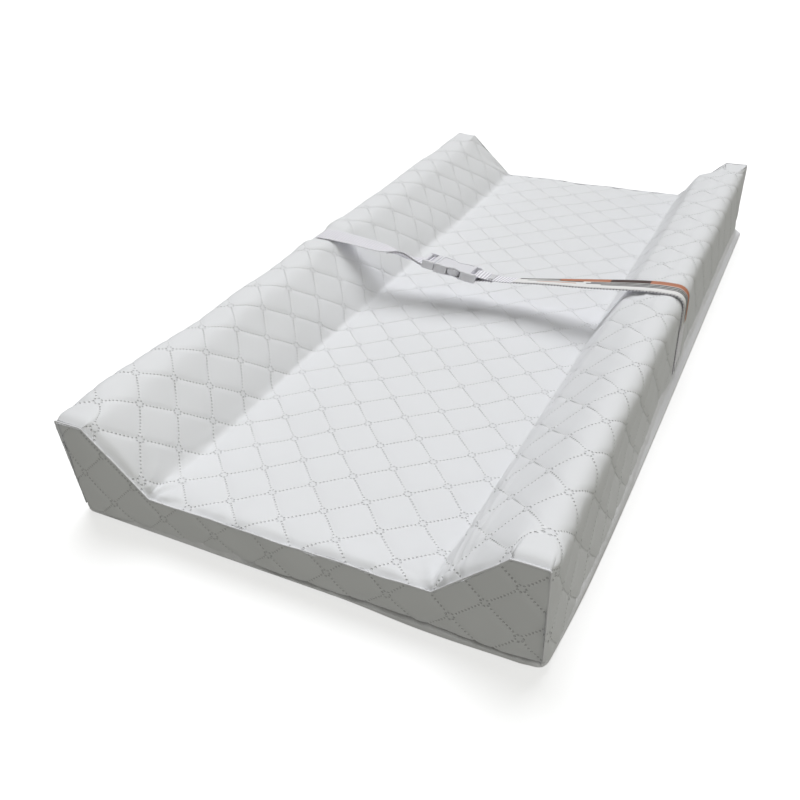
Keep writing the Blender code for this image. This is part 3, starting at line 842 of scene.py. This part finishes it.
def strap_swell(x, y):
    """How far the cover stands up beside the strap, where the strap bears on the bolsters."""
    off = beside_strap(x, y)
    bearing = rise(np.abs(x), BOLSTER_TOP_X - 0.010, BOLSTER_TOP_X + 0.004)
    return STRAP_SWELL * bearing * rise(off, 0.001, 0.011) * fall(off, 0.012, 0.047)


def rest_layout(points):
    """The flat shape that the grid is cut to: its own lengths each way, with some slack."""
    across = np.linalg.norm(np.diff(points[..., (0, 2)], axis=0), axis=2)
    across = np.concatenate([np.zeros_like(across[:1]), np.cumsum(across, axis=0)])
    across = across - across[len(across) // 2]
    return np.stack([across, points[..., 1], np.zeros_like(across)], axis=2) * (1 + SLACK)


def quilted_object(name, points, i, j, faces, finish):
    """A sheet's object, with the lattice coordinates that its material reads."""
    obj = mesh_object(name, points.reshape(-1, 3), faces, finish)
    set_uv(obj, "quilt", np.stack([value.ravel() for value in lattice_at(i, j)], axis=1))
    return obj


def cover_sink(x, y, z, place):
    """How far the welds lie under the contour, with all that swells the cover taken off."""
    sink = WELD_DEPTH + STRAP_PRESS * strap_press(x, y)
    sink = sink + np.where(y < 0, FRONT_TUCK, REAR_TUCK) * end_tuck(y)
    sink = sink - slope_bulge(x, y) - strap_swell(x, y) - left_swell(place, y) - front_puff(y)
    return sink - np.where(x > HALF_WIDTH - 0.020, foot_flare(y, z), 0.0)


def cover_relief(points, i, j, place, y):
    """Fine relief of the top cover: weld grooves, folds, and unevenness, with small gathers at the ends."""
    keep = (1 - end_tuck(y)) * (1 - strap_press(points[..., 0], y))
    on_slab = fall(np.abs(points[..., 0]), FLOOR_HALF_WIDTH - 0.010, FLOOR_HALF_WIDTH + 0.002)
    relief = weld_relief(i, j) * (0.4 + 0.6 * keep) * (1 - 0.35 * on_slab)
    relief = relief + (slope_wrinkles(place, y) + corner_puckers(place, y)) * keep
    relief = relief + 0.0007 * smooth_noise(place, y, 0.055, 3) * keep
    return relief + 0.0006 * mound(from_end(y), 0.012) * smooth_noise(place, y, 0.009, 5)


def cover_top(finish):
    """The quilted sheet over walls, bolsters, slopes and floor, in one piece."""
    reach = HALF_CONTOUR - 0.001
    low, high = (-reach, -HALF_LENGTH - SHEET_MARGIN), (reach, HALF_LENGTH + SHEET_MARGIN)
    i, j, place, y = lattice_grid(low, high, QUILT_ORIGIN, QUILT_SKEW)
    inside = fall(np.abs(place), reach - 0.02, reach)
    place = place + LATTICE_WANDER * inside * smooth_noise(place, y, 0.062, 21)
    y = y + LATTICE_WANDER * smooth_noise(place, y, 0.057, 22)
    x, z, normal_x, normal_z = contour_at(place, softness_at(y))
    sink = cover_sink(x, y, z, place)
    points = np.stack([x - normal_x * sink, y, z - normal_z * sink], axis=2)
    near_seam = (from_end(y) < PIN_MARGIN) | (np.abs(place) > SEAM_PLACE - PIN_MARGIN)
    pinned = on_weld(i, j) | near_seam | (strap_press(x, y) > 0.8)
    points = refined(inflate(points, rest_layout(points), pinned, grid_faces(*i.shape)))
    i, j, place, y = (refined(values) for values in (i, j, place, y))
    relief = cover_relief(points, i, j, place, y)
    points = points + surface_normals(points) * relief[..., None]
    obj = quilted_object("quilted_top_cover", points, i, j, grid_faces(*i.shape), finish)
    for end in (-1, 1):
        cut_away(obj, (0, end * HALF_LENGTH, 0), (0, end, 0))
    cut_away(obj, (0, 0, SEAM_HEIGHT), (0, 0, -1))
    settle_object(obj)
    stand_in(obj, "cover_top_panel")


def cover_end(end, finish):
    """One quilted end panel, cut to the contour."""
    low = (-HALF_WIDTH - SHEET_MARGIN, 0.0)
    high = (HALF_WIDTH + SHEET_MARGIN, PAD_HEIGHT + SHEET_MARGIN)
    i, j, x, z = lattice_grid(low, high, END_QUILT_ORIGIN, 0.0)
    rim_height = FRONT_RIM if end < 0 else REAR_RIM
    outside = outside_contour(x.ravel(), z.ravel(), rim_height)[0].reshape(x.shape)
    level = HALF_LENGTH - WELD_DEPTH - 0.0003 * rise(outside, -0.006, 0.0)
    level = level - 0.0004 * fall(z, SEAM_HEIGHT, SEAM_HEIGHT + 0.003)
    level = level + 0.0012 * fall(outside, -0.03, 0.0) * rise(z, SEAM_HEIGHT, SEAM_HEIGHT + 0.02)
    points = np.stack([x, end * level, z], axis=2)
    flat = np.stack([x, z, np.zeros_like(z)], axis=2) * (1 + SLACK)
    pinned = on_weld(i, j) | (outside > -PIN_MARGIN) | (z < SEAM_HEIGHT + PIN_MARGIN)
    points = refined(inflate(points, flat, pinned, grid_faces(*i.shape, flip=end > 0)))
    i, j = refined(i), refined(j)
    normals = surface_normals(points)
    normals = normals * np.sign(normals[..., 1:2]) * end
    x, z = points[..., 0], points[..., 2]
    relief = weld_relief(i, j) + 0.0014 * smooth_noise(x, z, 0.034, 7)
    relief = relief + 0.0008 * fall(z, 0.012, 0.034) * smooth_noise(x, z * 2.5, 0.016, 11)
    points = (points + normals * relief[..., None]).reshape(-1, 3)
    outside, edge_x, edge_z = outside_contour(points[:, 0], points[:, 2], rim_height)
    outer = outside > 0
    points[outer, 0] = edge_x[outer]
    points[outer, 2] = edge_z[outer]
    faces = [face for face in grid_faces(*i.shape, flip=end > 0) if not outer[face].all()]
    obj = quilted_object("quilted_end_cover_" + END_NAMES[end], points, i, j, faces, finish)
    with edited(obj.data) as bm:
        bmesh.ops.delete(bm, geom=[v for v in bm.verts if not v.link_faces], context="VERTS")
    cut_away(obj, (0, 0, SEAM_HEIGHT - 0.0006), (0, 0, -1))
    settle_object(obj)
    stand_in(obj, "cover_end_panel_" + END_NAMES[end])


# Seams and the plain underside.


def end_welt(end, finish):
    """The puckered seam allowance that stands up round one end."""
    place = np.linspace(-SEAM_PLACE, SEAM_PLACE, int(2 * SEAM_PLACE / WELT_STEP))
    x, z, normal_x, normal_z = contour_at(place)
    level = np.zeros_like(place)
    stand = FRONT_RIM if end < 0 else REAR_RIM - 0.0004
    stand = stand + 0.0002 * smooth_noise(place, level, 0.012, 11 + end)
    radius = WELT_RADIUS * (1 + 0.16 * smooth_noise(place, level, 0.0045, 21 + end))
    rings = []
    for side in range(WELT_SIDES + 1):
        angle = math.tau * (side % WELT_SIDES) / WELT_SIDES
        up = 1.15 * radius * math.sin(angle) + stand
        y = end * (HALF_LENGTH - 0.0002 + 0.95 * radius * math.cos(angle))
        rings.append(np.stack([x + normal_x * up, y, z + normal_z * up], axis=1))
    obj = grid_object("end_welt_" + END_NAMES[end], np.stack(rings, axis=1), finish, flip=end < 0)
    weld_shut(obj)
    settle_object(obj)
    stand_in(obj, "seam_welt_" + END_NAMES[end])


def weld_shut(obj):
    """Joins a tube's first and last rows and closes its ends."""
    with edited(obj.data) as bm:
        join_close(bm)
        bmesh.ops.holes_fill(bm, edges=[e for e in bm.edges if e.is_boundary], sides=0)
        bmesh.ops.recalc_face_normals(bm, faces=bm.faces)
    obj.data.shade_smooth()


def plan_directions(spacing):
    """Round the pad's plan: each point's core place, from -1 to 1 each way, and its outward normal."""
    core, normals = [], []
    radius = FRONT_LEFT_RADIUS
    runs = (
        ((1, -1), (1, 0), HALF_LENGTH - radius),
        ((1, 1), (0, 1), HALF_WIDTH - radius),
        ((-1, 1), (-1, 0), HALF_LENGTH - radius),
        ((-1, -1), (0, -1), HALF_WIDTH - radius),
    )
    for number, (corner, facing, half_run) in enumerate(runs):
        arc_steps = int(math.pi * radius / 2 / spacing)
        for step in range(arc_steps):
            angle = math.radians(90 * (number - 1 + step / arc_steps))
            core.append(corner)
            normals.append((math.cos(angle), math.sin(angle)))
        straight_steps = int(2 * half_run / spacing)
        ahead = (-facing[1], facing[0])
        for step in range(straight_steps):
            reach = 2 * step / straight_steps
            core.append((corner[0] + ahead[0] * reach, corner[1] + ahead[1] * reach))
            normals.append(facing)
    return np.array(core, float), np.array(normals, float)


def plan_at(core, normals, height, out):
    """The plan's points at a height, moved outward."""
    below_seam = np.clip(1 - height / SEAM_HEIGHT, 0.0, 1.0)
    turned = FOOT_ROUNDING * below_seam**2 * np.where(core[:, 1] < 0, 1.0, REAR_FOOT_SHARE)
    radius = corner_radius(core[:, 0], core[:, 1], height) + turned
    inner = np.stack([HALF_WIDTH - radius, HALF_LENGTH - radius], axis=1)
    return core * inner + normals * (radius + out)[:, None]


def flange_width(core, normals):
    """How far the foot spreads beyond the walls: turned under at the front, wide at the sides and rear."""
    y = core[:, 1] * HALF_LENGTH
    left = -0.0010 + (SIDE_FLANGE + 0.0010) * rise(y, -0.34, -0.04)
    right = SIDE_FLANGE * (1 - np.exp(-(y + HALF_LENGTH) / 0.070)) - foot_flare(y, 0.0)
    across = core[:, 0]
    side = np.where(across < 0, left, right)
    front = -0.0048 - 0.0035 * mound(across + 0.95, 0.30)
    front = front + 0.0034 * rise(across, 0.20, 0.65) - 0.0012 * rise(across, 0.70, 1.00)
    end = np.where(normals[:, 1] < 0, front, REAR_FLANGE)
    share = normals[:, 0] ** 2
    return side * share + end * (1 - share)


def seam_gap(core, normals):
    """Where the bottom seam gapes, from 0 to 1: at the front, from the middle to the right."""
    front = np.where(normals[:, 1] < 0, normals[:, 1] ** 2, 0.0)
    return front * (0.15 + 0.85 * rise(core[:, 0], -0.45, 0.25))


def cover_bottom(finish):
    """The plain underside: flat below, turned up to a puckered seam, with its flange at the foot."""
    core, normals = plan_directions(0.002)
    flange = flange_width(core, normals)
    gap = seam_gap(core, normals)
    upright = normals[:, 1] ** 2
    facing_right = np.clip(normals[:, 0], 0.0, 1.0) ** 2
    ground = plan_at(core, normals, 0.0, flange)
    around = np.cumsum(np.hypot(*np.diff(ground, axis=0, prepend=ground[-1:]).T))
    level = np.zeros(len(around))
    pucker = smooth_noise(around, level, 0.013, 31) + 0.6 * smooth_noise(around, level, 0.0055, 32)
    stations = (
        # share of the flange, height at the sides and at the ends, extra outward, closed and gaping
        (1.00, 0.0000, 0.0000, -0.0014, -0.0014),
        (1.00, 0.0003, 0.0003, -0.0004, -0.0004),
        (1.00, 0.0012, 0.0014, 0.0000, 0.0000),
        (0.97, 0.0026, 0.0026, 0.0000, 0.0004),
        (0.75, 0.0034, 0.0040, 0.0000, 0.0008),
        (0.42, 0.0039, 0.0054, 0.0002, 0.0009),
        (0.16, 0.0045, 0.0066, 0.0004, 0.0005),
        (0.05, 0.0058, 0.0071, 0.0004, -0.0009),
        (0.00, 0.0078, 0.0072, 0.0002, -0.0034),
        (0.00, 0.0096, 0.0080, -0.0006, -0.0056),
        (0.00, 0.0112, 0.0116, -0.0021, -0.0058),
    )
    rings = []
    for share, side_height, end_height, closed, gaping in stations:
        height = side_height + (end_height - side_height) * upright
        out = closed + (gaping - closed) * gap
        out = out + facing_right * foot_flare(core[:, 1] * HALF_LENGTH, height)
        gather = PUCKER_DEPTH * pucker * rise(height, 0.0, 0.008)
        plan = plan_at(core, normals, height, flange * share + out + gather)
        lift = height + (0.0007 + 0.0005 * gap) * pucker * rise(height, 0.004, 0.008)
        rings.append(np.concatenate([plan, lift[:, None]], axis=1))
    grid = np.stack(rings, axis=1)
    obj = grid_object("plain_bottom_cover", np.concatenate([grid, grid[:1]]), finish)
    close_underside(obj)
    stand_in(obj, "cover_bottom_panel")


def close_underside(obj):
    """Fills the lowest ring with the flat underside."""
    with edited(obj.data) as bm:
        join_close(bm)
        edges = [e for e in bm.edges if e.is_boundary and all(v.co.z < 1e-6 for v in e.verts)]
        underside = bmesh.ops.holes_fill(bm, edges=edges, sides=0)["faces"]
        bmesh.ops.recalc_face_normals(bm, faces=bm.faces)
        for face in underside:
            face.smooth = False


def round_outer_edge(point):
    """Draws a foam point at the bolsters' outer upper edges in under the cover's rounding."""
    middle_x, middle_z = HALF_WIDTH - FOAM_EDGE_REACH, PAD_HEIGHT - FOAM_EDGE_REACH
    off_x, off_z = abs(point.x) - middle_x, point.z - middle_z
    length = math.hypot(off_x, off_z)
    if min(off_x, off_z) > 0 and length > FOAM_EDGE_RADIUS:
        shrink = FOAM_EDGE_RADIUS / length
        point.x = math.copysign(middle_x + off_x * shrink, point.x)
        point.z = middle_z + off_z * shrink


def foam_piece(node, finish):
    """A foam block, cut finely enough to be rounded as the cover over it is."""
    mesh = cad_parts[node].data.copy()
    mesh.name = node + "_block"
    with edited(mesh) as bm:
        join_close(bm)
        for axis, spacing, reach in (
            ((1, 0, 0), 0.012, HALF_WIDTH),
            ((0, 1, 0), 0.030, HALF_LENGTH),
            ((0, 0, 1), 0.012, PAD_HEIGHT),
        ):
            for number in range(int(-reach / spacing), int(reach / spacing) + 1):
                slice_at(bm, Vector(axis) * number * spacing, axis)
    obj = in_scene(mesh.name, mesh, finish)
    settle_object(obj)
    for vertex in mesh.vertices:
        turned_under = 0.008 * max(0.0, 1 - vertex.co.z / 0.016)
        vertex.co.y = max(vertex.co.y, FOAM_FRONT_Y + turned_under)
        round_outer_edge(vertex.co)
    stand_in(obj, node)


# Strap.


def buckle_frame():
    """Local X along the strap into the housing, Y to the rear, Z up through the top plate."""
    turn = Matrix.Rotation(BUCKLE_YAW, 4, "Z")
    turn = turn @ Matrix.Rotation(BUCKLE_PITCH, 4, "Y")
    turn = turn @ Matrix.Rotation(BUCKLE_ROLL, 4, "X")
    return Matrix.Translation(BUCKLE_CENTRE) @ turn


def in_buckle(points):
    """Stations from (x, z) pairs in the buckle's own axes."""
    axes = buckle_frame()
    side = axes.to_3x3() @ Vector((0, 1, 0))
    return [(axes @ Vector((x, 0, z)), side) for x, z in points]


def turned_over(stations):
    """The stations with their band's other face up."""
    return [(centre, -side) for centre, side in stations]


def arc(centre, radius, first, last, steps):
    """(x, z) points along an arc, with its angles in degrees."""
    points = []
    for step in range(steps + 1):
        angle = math.radians(first + (last - first) * step / steps)
        points.append((centre[0] + radius * math.cos(angle), centre[1] + radius * math.sin(angle)))
    return points


def over_bolster(sign, y, lift):
    """Stations from the bottom seam up the outer wall and over the bolster's top."""
    wall = HALF_WIDTH + lift
    centre = (HALF_WIDTH - STRAP_BEND_RADIUS, PAD_HEIGHT - STRAP_BEND_RADIUS)
    points = [(wall, SEAM_HEIGHT + GAP), (wall, (SEAM_HEIGHT + centre[1]) / 2)]
    points += arc(centre, STRAP_BEND_RADIUS + lift, 0, 90, 10)
    points.append((BOLSTER_TOP_X + 0.004, PAD_HEIGHT + lift))
    side = Vector((0, -sign, 0))
    return [(Vector((sign * x, y, z)), side) for x, z in points]


def hanging_span(start, end, end_direction, twist):
    """Stations between the bolster and the buckle, on a smooth curve that rolls as it goes."""
    (first, first_side), (last, last_side) = start, end
    angle, place, spread, tautness = twist
    reach = (last - first).length
    leave = (last - first).normalized()
    leave.z *= 0.6
    stations = []
    for step in range(1, SPAN_STEPS):
        t = step / SPAN_STEPS
        a = 2 * t**3 - 3 * t**2 + 1
        b = t**3 - 2 * t**2 + t
        c = t**3 - t**2
        centre = first * a + last * (1 - a) + leave * (b * reach) + end_direction * (c * reach)
        centre.z += tautness * math.sin(math.pi * t**1.5) ** 2
        bump = math.exp(-(((t - place) / spread) ** 2))
        side = first_side.lerp(last_side, t).normalized()
        along = (last - first).normalized()
        stations.append((centre, Matrix.Rotation(angle * bump, 3, along) @ side))
    return stations


def left_stations():
    """From the left seam over the bolster, up through the ladder, round its bar and back."""
    over = over_bolster(-1, LEFT_STRAP_Y, WEB_LIFT)
    ride = LADDER_BAR_RADIUS + GAP + WEB_THICKNESS / 2
    under = END_BAR_UNDERSIDE - WEB_LIFT
    tail_level = under - WEB_THICKNESS - GAP
    entry = in_buckle([(TONGUE_END - 0.004, under), (END_BAR_FACE + 0.0004, under)])
    wrap = in_buckle(arc((LADDER_BAR_X, 0.0), ride, 165, -50, 12))
    back = in_buckle([(LADDER_BAR_X - 0.001, tail_level), (TONGUE_END - 0.002, tail_level)])
    over, entry = turned_over(over), turned_over(entry + wrap + back)
    direction = (entry[1][0] - entry[0][0]).normalized()
    span = hanging_span(over[-1], entry[0], direction, LEFT_TWIST)
    return over + span + entry + run_below(span, entry[0][0], TAIL_START, TAIL_LENGTH)


def run_below(span, origin, nearest, farthest):
    """Stations of a second layer under the end of a span, between two distances from its end."""
    below = WEB_THICKNESS + GAP
    layer = []
    for index in range(-1, -SPAN_STEPS, -1):
        centre, side = span[index]
        reach = (centre - origin).length
        if reach > farthest:
            break
        if reach < nearest:
            continue
        up = (centre - span[index - 1][0]).cross(side).normalized()
        up = up if up.z > 0 else -up
        layer.append((centre - up * below, side))
    return layer


def right_stations():
    """From the right seam over the bolster to the housing, round its bar and back underneath."""
    over = over_bolster(1, RIGHT_STRAP_Y, WEB_LIFT)
    ride = LOOP_BAR_RADIUS + GAP + WEB_THICKNESS / 2
    entry = in_buckle([(LOOP_BAR_X + 0.008, ride)] + arc((LOOP_BAR_X, 0.0), ride, 90, 270, 12))
    entry = turned_over(entry)
    direction = (entry[1][0] - entry[0][0]).normalized()
    span = hanging_span(over[-1], entry[0], direction, RIGHT_TWIST)
    back = run_below(span, entry[0][0], 0.0, LOOP_RETURN)
    return over, span, entry, back


def resampled(stations, step):
    """Evenly spaced places along the stations' route, with its directions."""
    centres = np.array([tuple(centre) for centre, _ in stations])
    sides = np.array([tuple(side) for _, side in stations])
    lengths = np.concatenate([[0.0], np.cumsum(np.linalg.norm(np.diff(centres, axis=0), axis=1))])
    along = np.linspace(0.0, lengths[-1], int(lengths[-1] / step) + 1)
    centre, side = (
        averaged(np.stack([np.interp(along, lengths, each) for each in values.T], axis=1), int(reach / step))
        for values, reach in ((centres, 0.0022), (sides, 0.006))
    )
    ahead = unit(np.gradient(centre, axis=0))
    side = unit(side - ahead * (side * ahead).sum(1, keepdims=True))
    return along, centre, side, np.cross(ahead, side)


def averaged(values, reach):
    """The run with each value replaced by the mean of those near it, ends kept."""
    if reach < 1:
        return values
    padded = np.concatenate([np.repeat(values[:1], reach, 0), values, np.repeat(values[-1:], reach, 0)])
    total = np.cumsum(np.concatenate([np.zeros_like(padded[:1]), padded]), axis=0)
    window = 2 * reach + 1
    smooth = (total[window:] - total[:-window]) / window
    smooth[0], smooth[-1] = values[0], values[-1]
    return smooth


def band_section(width, thickness, columns):
    """(across, up) points round a flat band with soft edges."""
    half, up = width / 2 - thickness / 2, thickness / 2
    top = [(half - 2 * half * n / columns, up) for n in range(columns + 1)]
    left = [(-half - up * math.sin(t), up * math.cos(t)) for t in (math.pi / 4, math.pi / 2, 3 * math.pi / 4)]
    under = [(-x, -z) for x, z in top]
    right = [(-x, -z) for x, z in left]
    return np.array(top + left + under + right)


def band(name, stations, width, thickness, finish, ribs, columns=14):
    """A flat woven band with cross ribs of real height."""
    along, centre, side, up = resampled(stations, BAND_STEP)
    section = band_section(width, thickness, columns)
    wave = np.cos(along * math.tau / RIB_PITCH)
    rings = []
    for across, height in section:
        flatness = fall(abs(across), width / 2 - 0.0016, width / 2)
        face = math.copysign(1.0, height) if abs(height) > thickness * 0.45 else 0.0
        level = height + face * ribs * (wave if face > 0 else -wave) * flatness
        rings.append(centre + side * across + up * np.asarray(level).reshape(-1, 1))
    grid = np.stack(rings + rings[:1], axis=1)
    obj = grid_object(name, grid, finish)
    rows, count = grid.shape[:2]
    across_all = np.append(section[:, 0], section[0, 0])
    set_uv(obj, "band", np.stack([np.repeat(along, count), np.tile(across_all, rows)], axis=1))
    weld_shut(obj)
    return obj


def lifted(stations, distance):
    """The stations moved off the top face of their band."""
    moved = []
    last = len(stations) - 1
    for index, (centre, side) in enumerate(stations):
        ahead = stations[min(index + 1, last)][0]
        behind = stations[max(index - 1, 0)][0]
        normal = (ahead - behind).cross(side).normalized()
        moved.append((centre + normal * distance, side))
    return moved


def label_stations():
    over, span, _, _ = right_stations()
    path = lifted(over + span, BAND_THICKNESS / 2 + 0.0003 + LABEL_THICKNESS / 2)
    kept = [station for station in path if station[0].x >= LABEL_START_X]
    low_end = kept[0][0].copy()
    low_end.z = LABEL_END_Z
    kept = [(low_end, kept[0][1])] + kept[2:]
    return kept[::-1]


def stitch_run(name, stations, offset, finish):
    """A row of short stitches along a band, offset sideways from its middle."""
    along, centre, side, up = resampled(stations, BAND_STEP)
    bm = bmesh.new()
    for number in range(1, int(along[-1] / STITCH_PITCH)):
        index = int(number * STITCH_PITCH / BAND_STEP)
        if index >= len(along) - 6:
            break
        ahead = Vector(centre[index + 4] - centre[index]).normalized()
        place = Vector(centre[index] + side[index] * offset)
        add_stitch(bm, place, ahead, Vector(up[index]), *STITCH_SIZE)
    return bead_object(name, bm, finish)


def add_stitch(bm, place, ahead, up, length, radius):
    """One stitch: a short bead that lies along ahead and stands up a little."""
    across = ahead.cross(up).normalized()
    turn = Matrix((ahead, across, up)).transposed().to_4x4()
    shape = Matrix.Diagonal((length / 2, radius * 1.3, radius, 1.0))
    shape = Matrix.Translation(place) @ turn @ shape
    bmesh.ops.create_uvsphere(bm, u_segments=8, v_segments=5, radius=1.0, matrix=shape)


def bar_tack(name, node, stations, finish):
    """A dense bar of crosswise stitches, in place of the plain block."""
    (first, side), (last, _) = stations
    along = last - first
    up = along.cross(side).normalized()
    bm = bmesh.new()
    for row in range(TACK_ROWS):
        place = first + along * (row + 0.5) / TACK_ROWS
        for number in range(5):
            across = (number - 2) * 0.0044 + (0.0006 if row % 2 else -0.0006)
            add_stitch(bm, place + side * across, side, up, *TACK_STITCH_SIZE)
    stand_in(bead_object(name, bm, finish), node)


def strap(webbing, label, thread):
    left = band("webbing_left", left_stations(), WEB_WIDTH, BAND_THICKNESS, webbing, RIB_HEIGHT)
    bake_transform(left)
    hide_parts("strap_webbing_left")
    over, span, entry, back = right_stations()
    route = over + span + entry + back
    right = band("webbing_right", route, WEB_WIDTH, BAND_THICKNESS, webbing, RIB_HEIGHT)
    stand_in(right, "strap_webbing_right")
    strip = band("strap_strip_label", label_stations(), LABEL_WIDTH, LABEL_THICKNESS, label, 0.0)
    stand_in(strip, "strap_label")
    path = lifted(label_stations(), -LABEL_THICKNESS / 2 - 0.0001)
    for end, name in END_NAMES.items():
        row = stitch_run("label_stitches_" + name, path, end * (LABEL_WIDTH / 2 - 0.0011), thread)
        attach(row, "pad")
    wall = HALF_WIDTH + WEB_LIFT + WEB_THICKNESS / 2 + GAP
    for name, sign, y in (("left", -1, LEFT_STRAP_Y), ("right", 1, RIGHT_STRAP_Y)):
        side = Vector((0, -sign, 0))
        ends = [(Vector((sign * wall, y, SEAM_HEIGHT + above)), side) for above in TACK_SPAN]
        bar_tack("anchor_stitches_" + name, "anchor_bartack_" + name, ends, thread)
    path = lifted(over + span, WEB_THICKNESS / 2 + 2 * GAP)
    (first, side), (second, _) = path[-1], path[-2]
    reach = first.lerp(second, 0.006 / (second - first).length)
    bar_tack("loop_stitches", "loop_bartack", [(first, side), (reach, side)], thread)


# Stage.


def stage_floor():
    """A plain pale floor and backdrop. They send no light to the pad, so the lamps alone light it."""
    nodes = Nodes("stage", (0.62, 0.62, 0.625), 0.9, 0.0)
    nodes.shader.inputs["Emission Color"].default_value = (1.0, 1.0, 1.0, 1.0)
    nodes.shader.inputs["Emission Strength"].default_value = STAGE_GLOW
    finish = nodes.finish()
    bpy.ops.mesh.primitive_plane_add(size=36.0, location=(0, 0, -0.0004))
    floor = bpy.context.object
    floor.name = "stage_floor"
    bpy.ops.mesh.primitive_uv_sphere_add(radius=18.0, segments=48, ring_count=24)
    backdrop = bpy.context.object
    backdrop.name = "stage_backdrop"
    backdrop.visible_shadow = False
    for obj in (floor, backdrop):
        obj.data.materials.append(finish)
        obj.visible_diffuse = False
        obj.visible_glossy = False
        obj.visible_transmission = False


def soft_sun(name, toward, spread, strength, colour):
    """A distant soft lamp. Toward points from the pad to the lamp."""
    data = bpy.data.lights.new(name, "SUN")
    data.angle = math.radians(spread)
    data.energy = strength
    data.color = colour
    obj = linked(name, data)
    obj.rotation_mode = "QUATERNION"
    obj.rotation_quaternion = Vector(toward).to_track_quat("Z", "Y")


def camera():
    """The photograph's own view."""
    data = bpy.data.cameras.new("camera")
    data.lens = CAMERA_LENS
    data.sensor_width = 36.0
    obj = linked("camera", data)
    right, up = Vector(CAMERA_RIGHT), Vector(CAMERA_UP)
    turn = Matrix((right, up, right.cross(up))).transposed().to_4x4()
    obj.matrix_world = Matrix.Translation(CAMERA_PLACE) @ turn
    bpy.context.scene.camera = obj


def studio():
    stage_floor()
    for lamp in LAMPS:
        soft_sun(*lamp)
    world = bpy.data.worlds.new("world")
    world.use_nodes = True
    background = world.node_tree.nodes["Background"]
    background.inputs["Color"].default_value = WORLD_COLOUR
    background.inputs["Strength"].default_value = WORLD_STRENGTH
    bpy.context.scene.world = world
    bpy.context.scene.view_settings.view_transform = "Standard"
    camera()


def main():
    vinyl = quilted_vinyl("quilted_vinyl", 0.43)
    # A copy with fainter painted shade in its weld dots, for the end panels, which stand in shade.
    faint_dot_shade = quilted_vinyl("quilted_vinyl_stretched", 0.20)
    plain = plain_vinyl()
    thread = thread_finish()
    cover_top(vinyl)
    for end in END_NAMES:
        cover_end(end, faint_dot_shade)
    for end in END_NAMES:
        end_welt(end, plain)
    cover_bottom(plain)
    strap(webbing_finish(), label_finish(), thread)
    foam = foam_finish()
    for name in ("foam_base_slab", "foam_bolster_left", "foam_bolster_right"):
        foam_piece(name, foam)
    plastic = plastic_finish()
    for name in ("buckle_housing", "buckle_tongue", "buckle_prong_front", "buckle_prong_rear"):
        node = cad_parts[name]
        for slot in node.material_slots:
            slot.material = plastic
    studio()


main()
